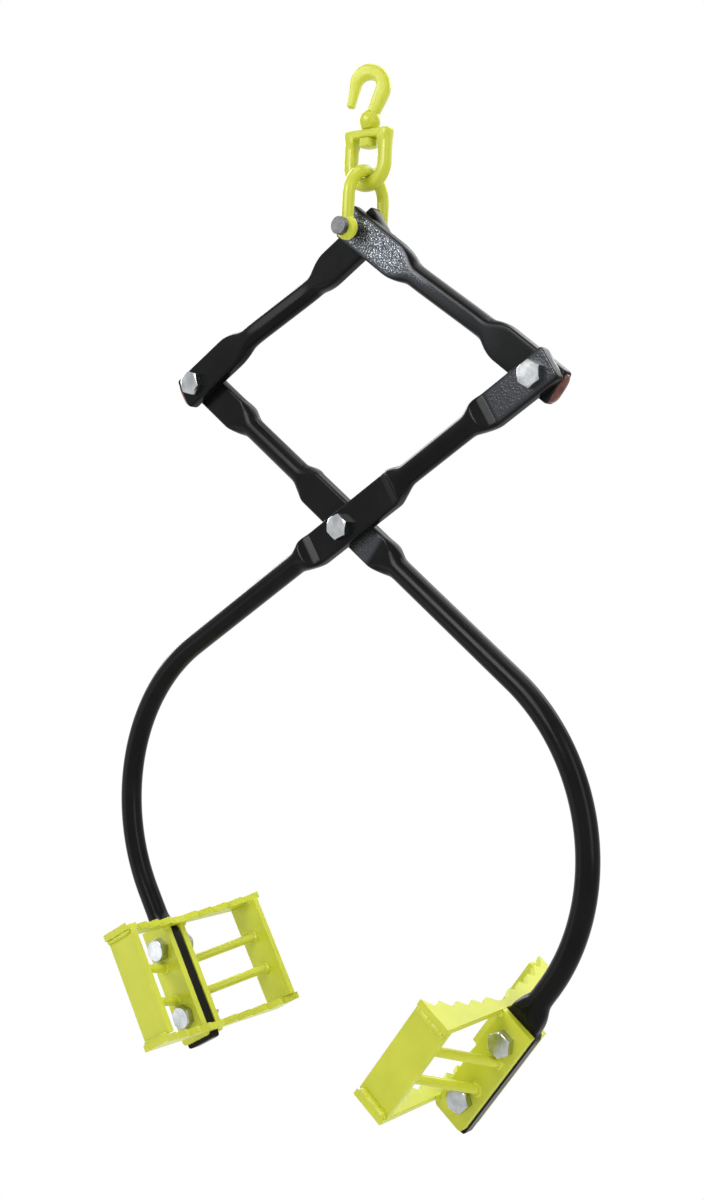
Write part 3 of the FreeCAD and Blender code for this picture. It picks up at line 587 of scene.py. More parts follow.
def soft_step(x, low, high):
    """0 below low, 1 above high, smooth between."""
    t = np.clip((x - low) / (high - low), 0.0, 1.0)
    return t * t * (3 - 2 * t)


def soft_ramp(x, start, end, low, high, softness):
    """A straight slope from (start, low) to (end, high) whose two corners are rounded over softness."""
    def bend_over(t):
        return softness * np.logaddexp(0.0, t / softness)
    return low + (high - low) / (end - start) * (bend_over(x - start) - bend_over(x - end))


def soft_max(a, b, softness):
    """The larger of two numbers, with the change-over rounded."""
    return softness * np.logaddexp(a / softness, b / softness)


def forged_section(half_width, half_depth, squareness, front_cut, back_cut):
    """Rim of a superellipse |w/a|^n + |d/b|^n = 1 shaved at distances front_cut and back_cut from its middle.
    The three reaches are joined by a smooth minimum, and the share of the two planes in it is a mask."""
    turn = full_turn(SECTION_COLUMNS)
    a, b, n, front, back = (np.asarray(x, float)[:, None] for x in
                            (half_width, half_depth, squareness, front_cut, back_cut))
    w = a * np.cos(turn)
    d = b * np.sin(turn)
    size = np.hypot(w, d)
    w = w / size
    d = d / size
    skin = ((np.abs(w / a) ** n + np.abs(d / b) ** n) ** (1 / n)) ** EDGE_SHARPNESS
    front_skin = (np.maximum(-d, 0) / front) ** EDGE_SHARPNESS
    back_skin = (np.maximum(d, 0) / back) ** EDGE_SHARPNESS
    total = skin + front_skin + back_skin
    reach = total ** (-1 / EDGE_SHARPNESS)
    flat_share = np.maximum(front_skin / total, back_skin / total)
    return np.stack([w * reach, d * reach], -1), flat_share


def nose_width(x):
    """Half width at a distance x past a pad's full width: an arc that drops to the bar, with a soft neck."""
    inside = np.sqrt(np.maximum(NOSE_RADIUS ** 2 - np.clip(x, 0, NOSE_LIMIT) ** 2, 0))
    return soft_max(HALF_PAD - NOSE_RADIUS + inside, BAR, NECK_SOFTNESS)


def rounded_end(x, radius):
    """How much a section shrinks at a distance x inside an end whose edge is a quarter round."""
    return radius - np.sqrt(np.maximum(radius ** 2 - np.clip(radius - x, 0, radius) ** 2, 0))


def both_ends(x, start, end, radius):
    """The same at the two ends of a bar."""
    return rounded_end(x - start, radius) + rounded_end(end - x, radius)


def stations(stops, steps):
    """Sorted distances along a bar: each stretch between two stops is divided by its own step."""
    runs = [np.linspace(a, b, max(int(round(abs(b - a) / step)), 1) + 1)
            for a, b, step in zip(stops[:-1], stops[1:], steps)]
    return np.unique(np.round(np.concatenate(runs), 4))


print("a nose drops from", HALF_PAD, "to", round(float(nose_width(NOSE_LIMIT)), 2), "mm half width")

# %% [markdown]
# An arm is the longest forging. From its square-cut upper end come a pad for the side pivot, a short bar,
# the crossing pad, then bar again through a wide bend, and last a flattened tail that the jaw clamps. Its
# middle line could be a curve object, but two straight lines and an arc are simple enough to write down.

# %% Arm path
ARM_PAD = 45.0
CROSS_ABOVE = 55.0
CROSS_BELOW = 33.0
LOWER_STRAIGHT = 199.0
BEND_RADIUS = 170.0
BEND_ANGLE = np.radians(89.0)
BEND_TO_JAW = 88.0
ARM_TAIL = 59.0

crossing = SIDE + PAST_PIVOT
side_pad_end = PAST_PIVOT + ARM_PAD
cross_pad_start = crossing - CROSS_ABOVE
cross_pad_end = crossing + CROSS_BELOW
bend_start = crossing + LOWER_STRAIGHT
bend_end = bend_start + BEND_RADIUS * BEND_ANGLE
jaw_station = bend_end + BEND_TO_JAW
arm_end = jaw_station + ARM_TAIL


def arm_path(s):
    """Point and outward direction in the arm's plane, at a distance s from its upper end."""
    turn = np.clip((s - bend_start) / BEND_RADIUS, 0, BEND_ANGLE)
    past = np.clip(s - bend_end, 0, None)
    straight = np.minimum(s, bend_start)
    heading = np.stack([-np.cos(turn), -np.sin(turn)], -1)
    across = np.stack([-np.sin(turn), np.cos(turn)], -1)
    x = crossing - straight - BEND_RADIUS * np.sin(turn) + past * heading[:, 0]
    z = -BEND_RADIUS * (1 - np.cos(turn)) + past * heading[:, 1]
    return np.stack([x, z], -1), across


print("arm", round(arm_end, 1), "mm along its middle line")

# %% [markdown]
# The back of both upper pads lies in one plane with the back of the bar, so the two arms meet flat. Their
# outer faces are sunk and start with a sloped shoulder: a short facet, then a steeper slope. The surface
# is the forged section carried along the path, with rows close together where a nose or an end changes
# quickly.

# %% Arm surface
TAIL_HALF_WIDTH = 16.3
TAIL_SHIFT = 1.2
TAIL_SQUARENESS = 9.0
TAIL_BEFORE_BEND_END = 30.0
CLAMP_BEFORE = 2.0
CLAMP_AFTER = 5.0
FACET = 6.5
FACET_RISE = 2.45
FACET_SOFTNESS = 0.25
SHOULDER = 13.0
SHOULDER_SOFTNESS = 0.5
SHOULDER_OVERRUN = 1.2
FLUSH_UNTIL = 0.6 * NOSE
OUT_OF_REACH = 1.35
ARM_CROWNS = (0.25, 0.4)
END_RUN = 4
END_STEP = 0.3
PAD_RUN = 3
PAD_STEP = 3
NOSE_RUN = 30
NOSE_STEP = 0.6
BAR_STEP = 2
BEND_STEP = 2.5
TAIL_RUN = 4


def shoulder_rise(x):
    """Height of a sunk pad's shoulder at a distance x past the pad's full width: a short facet, then a
    steeper slope that runs out of the round bar."""
    facet = soft_ramp(x, 0.0, FACET, 0.0, FACET_RISE, FACET_SOFTNESS)
    top = 2 * BAR - PAD_THICK - FACET_RISE + SHOULDER_OVERRUN
    return facet + soft_ramp(x, FACET, SHOULDER, 0.0, top, SHOULDER_SOFTNESS)


def arm_stations(tail):
    """Rows along the arm, fine at the ends and noses and coarse on the pads and bars."""
    return stations([0, END_RUN, side_pad_end - PAD_RUN, side_pad_end + NOSE_RUN, cross_pad_start - NOSE_RUN,
                     cross_pad_start + PAD_RUN, cross_pad_end - PAD_RUN, cross_pad_end + NOSE_RUN,
                     tail - NOSE_RUN, tail + TAIL_RUN, arm_end - END_RUN, arm_end],
                    [END_STEP, PAD_STEP, NOSE_STEP, BAR_STEP, NOSE_STEP, PAD_STEP, NOSE_STEP, BEND_STEP,
                     NOSE_STEP, PAD_STEP, END_STEP])


def arm_shell(s, tail):
    """The arm in its own frame: X from the crossing to the side pivot, Y from the front to the back. Its tail
    is flat from a distance tail on, a little wider and squarer than the pads, and set outwards in the jaw."""
    past_cross = np.maximum(cross_pad_start - s, s - cross_pad_end)
    past_pad = np.maximum(np.minimum.reduce([s - side_pad_end, past_cross, tail - s]), 0)
    flat = soft_step(NOSE - past_pad, 0.0, NOSE)
    thin = soft_step(SHOULDER - past_pad, 0.0, SHOULDER)
    clamped = soft_step(s, tail - CLAMP_BEFORE, tail + CLAMP_AFTER)
    upper = s < bend_end - TAIL_BEFORE_BEND_END
    rise = shoulder_rise(past_pad)
    bar_y = -LAYER_GAP - BAR
    front = np.where(upper, -LAYER_GAP - PAD_THICK, bar_y - PAD_THICK / 2) - rise
    far_back = bar_y + BAR * OUT_OF_REACH
    flush = -LAYER_GAP + (far_back + LAYER_GAP) * soft_step(past_pad, FLUSH_UNTIL, NOSE_LIMIT)
    back = np.where(upper, flush, bar_y + PAD_THICK / 2 + rise)
    pad_middle = np.where(upper, -LAYER_GAP - PAD_THICK / 2, bar_y)
    middle = bar_y + (pad_middle - bar_y) * thin
    depth = BAR + (PAD_BULGE - BAR) * thin
    width = nose_width(past_pad) - both_ends(s, 0.0, arm_end, END_CORNER)
    width = width + (TAIL_HALF_WIDTH - HALF_PAD) * clamped
    squareness = (ROUND_SQUARENESS + (PAD_SQUARENESS - ROUND_SQUARENESS) * flat
                  + (TAIL_SQUARENESS - PAD_SQUARENESS) * clamped)
    shrink = both_ends(s, 0.0, arm_end, END_ROUNDING)
    rim, flat_share = forged_section(width - shrink, depth - shrink, squareness,
                                     middle - front - shrink, back - middle - shrink)
    centre, across = arm_path(s)
    offset = rim[..., :1] + (TAIL_SHIFT * clamped)[:, None, None]
    plane = centre[:, None, :] + offset * across[:, None, :]
    rings = np.stack([plane[..., 0], middle[:, None] + rim[..., 1], plane[..., 1]], -1)
    return tube_shell(rings, *ARM_CROWNS), flat_share


print("a shoulder rises", round(float(shoulder_rise(SHOULDER)), 2), "mm")

# %% [markdown]
# The rear arm is the front arm's forging turned half round, as in the real tongs, so one surface serves
# both. Only the start of the tail's flat and the hammered pads differ: how rough each pad is, and how much
# painted grey sheen it gets where it catches the light. One amount for both is written at six stops along
# the arm and interpolated between them.

# %% Place the arms
TAIL_PAD_HIGH = 53.5
FRONT_TAIL_DROP = 15.0
# Hammer marks and painted sheen along each arm: the painted grey is strongest on pads that catch the light.
HAMMER_AND_PAINTED_SHEEN_STOPS = [side_pad_end - 3, side_pad_end + 1, crossing - 12, crossing + 12, cross_pad_end - 2,
               cross_pad_end + 2]
FRONT_ARM_HAMMER_AND_PAINTED_SHEEN = (0.67, 0.05, 0.02, 0.02, 0.02, 0.0)
REAR_ARM_HAMMER_AND_PAINTED_SHEEN = (0.02, 0.02, 0.04, 0.74, 0.70, 0.05)


def to_place(points, origin, lean, half_turn=False):
    """Turns points about Y by lean degrees, moves them to an origin, and may turn them half round the Z
    axis."""
    angle = np.radians(lean)
    x = points[:, 0] * np.cos(angle) + points[:, 2] * np.sin(angle)
    z = points[:, 2] * np.cos(angle) - points[:, 0] * np.sin(angle)
    placed = np.stack([x, points[:, 1], z], -1) + origin
    return placed * np.array([-1, -1, 1]) if half_turn else placed


def face_hammer_and_painted_sheen(share, along):
    """The mask of hammer marks and painted sheen at each point: the share of a flat face times the amount
    along the bar. Two more values stand for the poles that close the ends."""
    return np.concatenate([(share * along[:, None]).ravel(), [0.0, 0.0]])


for label, half_turn, drop, grain in (("front_arm", False, FRONT_TAIL_DROP, FRONT_ARM_HAMMER_AND_PAINTED_SHEEN),
                                      ("rear_arm", True, 0.0, REAR_ARM_HAMMER_AND_PAINTED_SHEEN)):
    tail = jaw_station - TAIL_PAD_HIGH + drop
    rows = arm_stations(tail)
    (points, quads, triangles), flat_share = arm_shell(rows, tail)
    placed = to_place(points, centre_pivot, -LEAN, half_turn)
    mask = face_hammer_and_painted_sheen(flat_share, np.interp(rows, HAMMER_AND_PAINTED_SHEEN_STOPS, grain))
    new_piece(label + "_forging", [(placed, quads, triangles)], black_paint, label + "_body",
              (label,), mask)

# %% [markdown]
# A link is a shorter forging of the same bar. Its front is one flat face from pad to pad: a narrow strip
# on the bar that opens into the two leaves. The bar leans back between its pads, because the link lies in
# front of its neighbour at one pivot and behind it at the other. A second flat cut could make the strip,
# but here it is only the front plane of the same section, set a little inside the bar.

# %% Link surface
LINK_PAD = 44.0
STRIP_DEPTH = 0.9
LINK_KINK = 74.08
KINK_SOFTNESS = 3.0
LINK_FLAT_PAST_NOSE = 6.0
LINK_SHOULDER_LAG = 1.5
LINK_NOSE_RUN = 34
LINK_CROWN = 0.2

far_pad = SIDE - LINK_PAD
link_low = -PAST_PIVOT
link_high = SIDE + PAST_PIVOT
link_rows = stations([link_low, link_low + END_RUN, LINK_PAD - PAD_RUN, LINK_PAD + LINK_NOSE_RUN,
                      far_pad - LINK_NOSE_RUN, far_pad + PAD_RUN, link_high - END_RUN, link_high],
                     [END_STEP, PAD_STEP, NOSE_STEP, BAR_STEP, NOSE_STEP, PAD_STEP, END_STEP])


def link_shell(x):
    """The link in its own frame: X from its front-layer pivot to its back-layer pivot."""
    past_pad = np.maximum(np.minimum(x - LINK_PAD, far_pad - x), 0)
    width = nose_width(past_pad) - both_ends(x, link_low, link_high, END_CORNER)
    flat = soft_step(NOSE - past_pad, -LINK_FLAT_PAST_NOSE, NOSE)
    face = soft_ramp(x, LINK_KINK, SIDE - LINK_KINK, -LAYER_GAP - PAD_THICK, LAYER_GAP, KINK_SOFTNESS)
    bar_middle = face + BAR - STRIP_DEPTH
    middle = bar_middle + (face + PAD_THICK / 2 - bar_middle) * flat
    back = face + PAD_THICK + shoulder_rise(past_pad - LINK_SHOULDER_LAG)
    depth = BAR + (PAD_BULGE - BAR) * flat
    squareness = ROUND_SQUARENESS + (PAD_SQUARENESS - ROUND_SQUARENESS) * flat
    shrink = both_ends(x, link_low, link_high, END_ROUNDING)
    rim, flat_share = forged_section(width - shrink, depth - shrink, squareness,
                                     middle - face - shrink, back - middle - shrink)
    along = np.broadcast_to(x[:, None], rim.shape[:2])
    rings = np.stack([along, middle[:, None] + rim[..., 1], rim[..., 0]], -1)
    return tube_shell(rings, LINK_CROWN, LINK_CROWN), flat_share


print("link", round(link_high - link_low, 1), "mm long in", len(link_rows), "rows")

# %% [markdown]
# Each link ends below in a bare saw cut, slightly domed. Half of a sphere would be too round and too tall
# for it. A superellipse that shrinks along a quarter turn keeps the outline of the pad and closes in a
# low crown.

# %% Links and their bare ends
DOME = 4.4
DOME_SUNK = 0.6
DOME_HALF_WIDTH = HALF_PAD - 2.2
DOME_HALF_THICK = PAD_THICK / 2 - 1.0
DOME_SHARE = 0.98
DOME_ROWS = 16
DOME_COLUMNS = 96
# Hammer marks and painted sheen on each link's two pads: the right link's pad at the shackle catches the
# light and gets the full painted grey and glints.
RIGHT_LINK_HAMMER_AND_PAINTED_SHEEN = (1.0, 0.10)
LEFT_LINK_HAMMER_AND_PAINTED_SHEEN = (0.03, 0.05)


def dome_shell(x, way, y_middle):
    """A low dome on a link's cut end: superellipse rings that shrink along a quarter turn."""
    turn = np.linspace(0, np.pi / 2, DOME_ROWS)[:, None]
    about = full_turn(DOME_COLUMNS)[None, :]
    power = 2 / PAD_SQUARENESS
    grow = np.cos(turn * DOME_SHARE)
    z = DOME_HALF_WIDTH * grow * squared_off(np.cos(about), power)
    y = y_middle + DOME_HALF_THICK * grow * squared_off(np.sin(about), power)
    out = x + way * (DOME * np.sin(turn) - DOME_SUNK) + 0 * about
    return tube_shell(np.stack([out, y, z], -1))


(link_points, link_quads, link_triangles), link_share = link_shell(link_rows)
for label, origin, lean, end_x, way, grain in (
        ("right_link", top_pin, LEAN, link_high, 1, RIGHT_LINK_HAMMER_AND_PAINTED_SHEEN),
        ("left_link", left_pivot, -LEAN, link_low, -1, LEFT_LINK_HAMMER_AND_PAINTED_SHEEN)):
    body = label + "_body"
    placed = to_place(link_points, origin, lean)
    mask = face_hammer_and_painted_sheen(link_share, np.interp(link_rows, [LINK_PAD, far_pad], grain))
    new_piece(label + "_forging", [(placed, link_quads, link_triangles)], black_paint, body,
              (label,), mask)
    points, quads, triangles = dome_shell(end_x, way, way * (LAYER_GAP + PAD_THICK / 2))
    new_piece(label + "_bare_end", [(to_place(points, origin, lean), quads, triangles)], bare_end, body)

# %% [markdown]
# The hanging gear is small and thickly painted. The hook is a flattened bar curled over and tapered to a
# round tip, standing on a ball. A bevelled curve could not change its section on the way, so the bar is a
# superellipse carried along a straight limb, the arc of the bowl and a short straight tip.

# %% Hook bar
HOOK_BAR = 6.0
HOOK_HALF_DEEP = 5.9
HOOK_SQUARENESS = 4.2
HOOK_TURN = np.radians(26.0)
HOOK_COLUMNS = 72
HOOK_STEP = 0.7
NECK_HALF_WIDE = 4.9
NECK_HALF_DEEP = 4.6
NECK_START = 2.0
NECK_SHARE = 0.95
BOWL_RADIUS = 5.8
BOWL_OFFSET = -1.5
COLLAR_DROP = 34.0
TAPER_SHARE = 0.55
TIP_LENGTH = 20.5
TIP_RADIUS = 3.4
TIP_ROUNDING = 2.2
TIP_FLARE = np.radians(10.0)
TIP_RUN = 6
TIP_STEP = 0.2
SMALLEST_TIP = 0.0004


def hook_bar():
    """The limb, bowl and tip as one lofted bar. The limb is a tangent from the ball's middle to the bowl."""
    bowl = BOWL_RADIUS + HOOK_BAR
    foot = np.array([0.0, -COLLAR_DROP])
    to_bowl = np.array([BOWL_OFFSET, -BOWL_RADIUS]) - foot
    reach = np.linalg.norm(to_bowl)
    limb = np.sqrt(reach ** 2 - bowl ** 2)
    lean = np.arctan2(to_bowl[0], to_bowl[1]) + np.arcsin(bowl / reach)
    sweep = np.pi + lean - TIP_FLARE
    total = limb + bowl * sweep + TIP_LENGTH
    s = stations([0, total - TIP_RUN, total], [HOOK_STEP, TIP_STEP])
    angle = np.clip((s - limb) / bowl, 0, sweep) - lean
    heading = np.stack([-np.sin(angle), np.cos(angle)], -1)
    across = np.stack([np.cos(angle), np.sin(angle)], -1)
    limb_way = np.array([np.sin(lean), np.cos(lean)])
    bowl_middle = foot + limb * limb_way - bowl * np.array([np.cos(lean), -np.sin(lean)])
    on_limb = foot + np.minimum(s, limb)[:, None] * limb_way
    past_bowl = np.clip(s - limb - bowl * sweep, 0, None)
    centre = np.where((s <= limb)[:, None], on_limb, bowl_middle + bowl * across)
    centre = centre + past_bowl[:, None] * heading
    taper = soft_step(s, limb + bowl * sweep * TAPER_SHARE, total)
    neck = soft_step(s, NECK_START, limb * NECK_SHARE)
    wide = (NECK_HALF_WIDE + (HOOK_BAR - NECK_HALF_WIDE) * neck) * (1 - taper) + TIP_RADIUS * taper
    deep = (NECK_HALF_DEEP + (HOOK_HALF_DEEP - NECK_HALF_DEEP) * neck) * (1 - taper) + TIP_RADIUS * taper
    in_tip = np.clip(s - total + TIP_ROUNDING, 0, None) / TIP_ROUNDING
    round_tip = np.sqrt(np.clip(1 - in_tip ** 2, SMALLEST_TIP, 1))
    about = full_turn(HOOK_COLUMNS)[None, :]
    power = 2 / HOOK_SQUARENESS
    w = (wide * round_tip)[:, None] * squared_off(np.cos(about), power)
    d = (deep * round_tip)[:, None] * squared_off(np.sin(about), power)
    plane = centre[:, None, :] + w[..., None] * across[:, None, :]
    x = plane[..., 0] * np.cos(HOOK_TURN) - d * np.sin(HOOK_TURN)
    y = plane[..., 0] * np.sin(HOOK_TURN) + d * np.cos(HOOK_TURN)
    return tube_shell(np.stack([x, y, plane[..., 1]], -1))


hook_shells = [hook_bar()]
print("hook bar:", len(hook_shells[0][0]), "points")

# %% [markdown]
# The ball and the shank are a turned shape, so they are a profile spun about the vertical. Bar and ball
# overlap as two closed shells at first. A boolean would leave a sharp seam, so a voxel remesh melts them
# into one skin, and a few smoothing passes leave the soft inside corners that paint fills.

# %% Hook
COLLAR_RADIUS = 9.0
SEAT_DROP = 7.0
SHANK_RADIUS = 4.5
SHANK_CHAMFER = 0.6
BALL_TOP_SHARE = 0.995
BALL_ROWS = 40
TURNED_COLUMNS = 64
HOOK_VOXEL = 0.36
HOOK_SMOOTHING = 2
SMOOTHING_FACTOR = 0.5


def melt(piece, voxel, passes):
    """Joins overlapping shells into one skin and softens its inside corners."""
    remesh = piece.modifiers.new("one_skin", "REMESH")
    remesh.mode = "VOXEL"
    remesh.voxel_size = voxel * MM
    remesh.use_smooth_shade = True
    smooth = piece.modifiers.new("soft_corners", "SMOOTH")
    smooth.factor = SMOOTHING_FACTOR
    smooth.iterations = passes


def hook_ball():
    """The ball with its seat and shank: a profile of radius and height, turned about the hook's axis."""
    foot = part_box("hook")[0].z / MM
    arc = np.linspace(np.pi / 2 * BALL_TOP_SHARE, -np.arcsin(SEAT_DROP / COLLAR_RADIUS), BALL_ROWS)
    ball = np.stack([COLLAR_RADIUS * np.cos(arc), COLLAR_RADIUS * np.sin(arc) - COLLAR_DROP], -1)
    shank = np.array([[SHANK_RADIUS, -COLLAR_DROP - SEAT_DROP], [SHANK_RADIUS, foot + SHANK_CHAMFER],
                      [SHANK_RADIUS - SHANK_CHAMFER, foot]])
    profile = np.concatenate([ball, shank])
    radius, height = profile[:, :1], profile[:, 1:]
    turn = full_turn(TURNED_COLUMNS)[None, :]
    return tube_shell(np.stack([radius * np.cos(turn), radius * np.sin(turn), height + 0 * turn], -1))


hook_shells.append(hook_ball())
hook_piece = new_piece("hook_forging", hook_shells, lime_paint, "hook_body", ("hook",))
melt(hook_piece, HOOK_VOXEL, HOOK_SMOOTHING)

# %% [markdown]
# The swivel bail is a D-shaped ring: a flat top with square outer corners, two legs and a round bottom. A
# bent curve with a bevel would pinch at those corners. In polar form, its outer and inner outlines are
# distances from a middle point at each angle, so the ring is one surface of two angles, with no seam.

# %% Swivel bail
BAIL_BAR = 11.0
BAIL_SQUARENESS = 2.7
BAIL_TOP_THICK = 7.5
BAIL_TOP_HALF_DEEP = 6.5
BAIL_TOP_SQUARER = 1.6
TOP_BLEND_START = 14
TOP_BLEND_END = 5
CORNER_SHARPNESS = 26.0
BAIL_ROWS = 260
BAIL_COLUMNS = 64


def d_outline(turn, half_width, top, bottom_radius):
    """Distance from the middle to a D outline: straight sides and top joined by a smooth minimum, round
    below."""
    right_way, up_way = np.cos(turn), np.sin(turn)
    sides = np.abs(right_way) / half_width
    over = np.maximum(up_way, 0) / top
    upper = (sides ** CORNER_SHARPNESS + over ** CORNER_SHARPNESS) ** (-1 / CORNER_SHARPNESS)
    return np.where(up_way < 0, bottom_radius, upper)


def bail_shell():
    """The ring between two D outlines; its superellipse section is deeper and squarer along the flat top."""
    low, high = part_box("swivel_bail")
    half = (high.x - low.x) / 2 / MM
    top = high.z / MM
    middle_z = low.z / MM + half
    turn = full_turn(BAIL_ROWS)
    outer = d_outline(turn, half, top - middle_z, half)
    inner = d_outline(turn, half - BAIL_BAR, top - BAIL_TOP_THICK - middle_z, half - BAIL_BAR)
    middle = (outer + inner) / 2
    flat_top = soft_step(np.sin(turn) * middle, top - middle_z - TOP_BLEND_START,
                         top - middle_z - TOP_BLEND_END)
    deep = BAIL_BAR / 2 + (BAIL_TOP_HALF_DEEP - BAIL_BAR / 2) * flat_top
    power = (2 / (BAIL_SQUARENESS + BAIL_TOP_SQUARER * flat_top))[:, None]
    about = full_turn(BAIL_COLUMNS)[None, :]
    reach = middle[:, None] + ((outer - inner) / 2)[:, None] * squared_off(np.cos(about), power)
    y = deep[:, None] * squared_off(np.sin(about), power)
    rings = np.stack([reach * np.cos(turn)[:, None], y, middle_z + reach * np.sin(turn)[:, None]], -1)
    return loop_shell(rings)


new_piece("bail_forging", [bail_shell()], lime_paint, "bail_body", ("swivel_bail",))

# %% [markdown]
# The shackle is a rod bent over the bail's bottom, with a knob-like eye on each end for the pin. The eyes
# are rounded discs. A boolean would set them off by a sharp seam, so they are melted onto the rod like the
# hook's ball.

# %% Shackle
SHACKLE_BAR = 5.25
SHACKLE_COLUMNS = 64
LEG_ROWS = 20
LEG_STOP = 1
BEND_ROWS = 90
EYE_RADIUS = 10.0
EYE_HALF = 6.5
EYE_SQUARENESS = 2.15
EYE_SHARE = 0.97
EYE_ROWS = 40
EYE_COLUMNS = 72
SHACKLE_VOXEL = 0.45
SHACKLE_SMOOTHING = 5


def shackle_shells():
    """A round rod along a U, and two eyes: superellipse arcs spun about the pin's axis."""
    low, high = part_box("shackle")
    leg = (high.y - low.y) / 2 / MM - EYE_HALF
    crown_z = high.z / MM - SHACKLE_BAR - leg
    pin_z = top_pin[2]
    bend = np.linspace(0, np.pi, BEND_ROWS)
    rise = np.linspace(pin_z, crown_z - LEG_STOP, LEG_ROWS)
    fall = np.linspace(crown_z - LEG_STOP, pin_z, LEG_ROWS)
    ones = np.ones(LEG_ROWS)
    out_y = np.concatenate([-ones, -np.cos(bend), ones])[:, None]
    out_z = np.concatenate([0 * ones, np.sin(bend), 0 * ones])[:, None]
    y = np.concatenate([-leg * ones, -leg * np.cos(bend), leg * ones])[:, None]
    z = np.concatenate([rise, crown_z + leg * np.sin(bend), fall])[:, None]
    about = full_turn(SHACKLE_COLUMNS)[None, :]
    w = SHACKLE_BAR * np.cos(about)
    shells = [tube_shell(np.stack([SHACKLE_BAR * np.sin(about) + 0 * y, y + out_y * w, z + out_z * w], -1))]
    arc = np.linspace(-np.pi / 2 * EYE_SHARE, np.pi / 2 * EYE_SHARE, EYE_ROWS)[:, None]
    power = 2 / EYE_SQUARENESS
    radius = EYE_RADIUS * squared_off(np.cos(arc), power)
    thick = EYE_HALF * squared_off(np.sin(arc), power)
    turn = full_turn(EYE_COLUMNS)[None, :]
    for side in (-1, 1):
        eye_y = side * leg + thick + 0 * turn
        eye_z = pin_z + radius * np.sin(turn)
        shells.append(tube_shell(np.stack([radius * np.cos(turn), eye_y, eye_z], -1)))
    return shells


shackle_piece = new_piece("shackle_forging", shackle_shells(), lime_paint, "shackle_body",
                          ("shackle",))
melt(shackle_piece, SHACKLE_VOXEL, SHACKLE_SMOOTHING)

# %% [markdown]
# Plates, rods, bolts, nuts, the pin and its cotter already have their true shape in the frame, so they
# stay and only get their finish. A real sheared plate has no knife edge and paint rounds it further: a
# Weld modifier joins the triangles and a narrow Bevel breaks the edges. The mesh itself is left alone.

# %% Plates and fasteners
FINISH_OF_SLOT = {"lime_paint": lime_paint, "black_paint": black_paint, "zinc_plate": zinc_plate,
                  "plain_steel": plain_steel}
EDGE_WIDTHS = {"plate": 0.55, "bolt": 0.35, "nut": 0.35, "shackle_pin": 0.5}
JOIN_WITHIN = 0.002
EDGE_SEGMENTS = 2
EDGE_ANGLE = np.radians(38)


def break_edges(piece, width):
    """Rounds the sharp edges of a plate or fastener by a narrow bevel."""
    weld = piece.modifiers.new("join_triangles", "WELD")
    weld.merge_threshold = JOIN_WITHIN * MM
    bevel = piece.modifiers.new("broken_edges", "BEVEL")
    bevel.width = width * MM
    bevel.segments = EDGE_SEGMENTS
    bevel.limit_method = "ANGLE"
    bevel.angle_limit = EDGE_ANGLE
    bevel.harden_normals = True


for name, piece in frame["nodes"].items():
    if piece.hide_render:
        continue
    slot_name = piece.material_slots[0].material.name
    piece.material_slots[0].material = FINISH_OF_SLOT[slot_name]
    for kind, width in EDGE_WIDTHS.items():
        if kind in name:
            break_edges(piece, width)
print("kept nodes:", sum(not piece.hide_render for piece in frame["nodes"].values()))

# %% [markdown]
# The jaws are welded, and the weld is what tells a real cage from a folded box. A bump could hint at it,
# but its outline shows against the plates. A bead is a tube whose radius swells at each puddle of the
# torch, and each rod ends in a ring of weld whose thickness wanders.

# %% Weld beads
ROWS_PER_MM = 2.5
FEWEST_ROWS = 16
RIPPLE = 0.035
RIPPLE_LENGTH = 3.1
SWELL = 0.10
SWELL_LENGTH = 11.0
BEAD_TIP = 1.1
SMALLEST_BEAD = 0.02
BEAD_COLUMNS = 20
ROD_RADIUS = 4.0
RING_BITE = 0.3
RING_ROWS = 72
RING_COLUMNS = 18
RING_PHASES = 6.28


def puddles(length, seed):
    """Rows along a bead with a wandering radius factor, the same on each run."""
    rng = np.random.default_rng(seed)
    s = np.linspace(0, length, max(int(length * ROWS_PER_MM), FEWEST_ROWS))
    short, long = rng.uniform(0, 2 * np.pi, 2)
    ripple = RIPPLE * np.sin(2 * np.pi * s / RIPPLE_LENGTH + short)
    return s, 1 + ripple + SWELL * np.sin(2 * np.pi * s / SWELL_LENGTH + long)


def straight_bead(start, end, across, lift, radius, seed):
    """A bead from start to end whose section is a flattened round, tapering to a blunt tip at both ends."""
    start, end, across, lift = (np.asarray(x, float) for x in (start, end, across, lift))
    length = np.linalg.norm(end - start)
    s, swell = puddles(length, seed)
    from_tip = np.clip(np.minimum(s, length - s) / (BEAD_TIP * radius), 0, 1)
    tip = np.sqrt(np.clip(1 - (1 - from_tip) ** 2, SMALLEST_BEAD, 1))
    about = full_turn(BEAD_COLUMNS)[None, :]
    line = start + (end - start) * (s / length)[:, None]
    size = (radius * swell * tip)[:, None, None]
    return tube_shell(line[:, None, :] + size * (np.cos(about)[..., None] * across
                                                 + np.sin(about)[..., None] * lift))


def ring_bead(middle, normal_y, slope, radius, seed):
    """A ring of weld round a rod's end, on a plate that faces along Y; slope stretches it for a slanted
    rod."""
    rng = np.random.default_rng(seed)
    turn = full_turn(RING_ROWS)[:, None]
    about = full_turn(RING_COLUMNS)[None, :]
    two_lobes = 0.18 * np.sin(2 * turn + rng.uniform(0, RING_PHASES))
    five_lobes = 0.12 * np.sin(5 * turn + rng.uniform(0, RING_PHASES))
    thick = radius * (1 + two_lobes + five_lobes)
    out = ROD_RADIUS - RING_BITE + thick * np.cos(about)
    x = middle[0] + out * np.cos(turn) * slope
    y = middle[1] + normal_y * thick * np.sin(about)
    z = middle[2] + out * np.sin(turn)
    return loop_shell(np.stack([x, y, z], -1))


print("a bead of 30 mm has", len(puddles(30.0, 0)[0]), "rows")

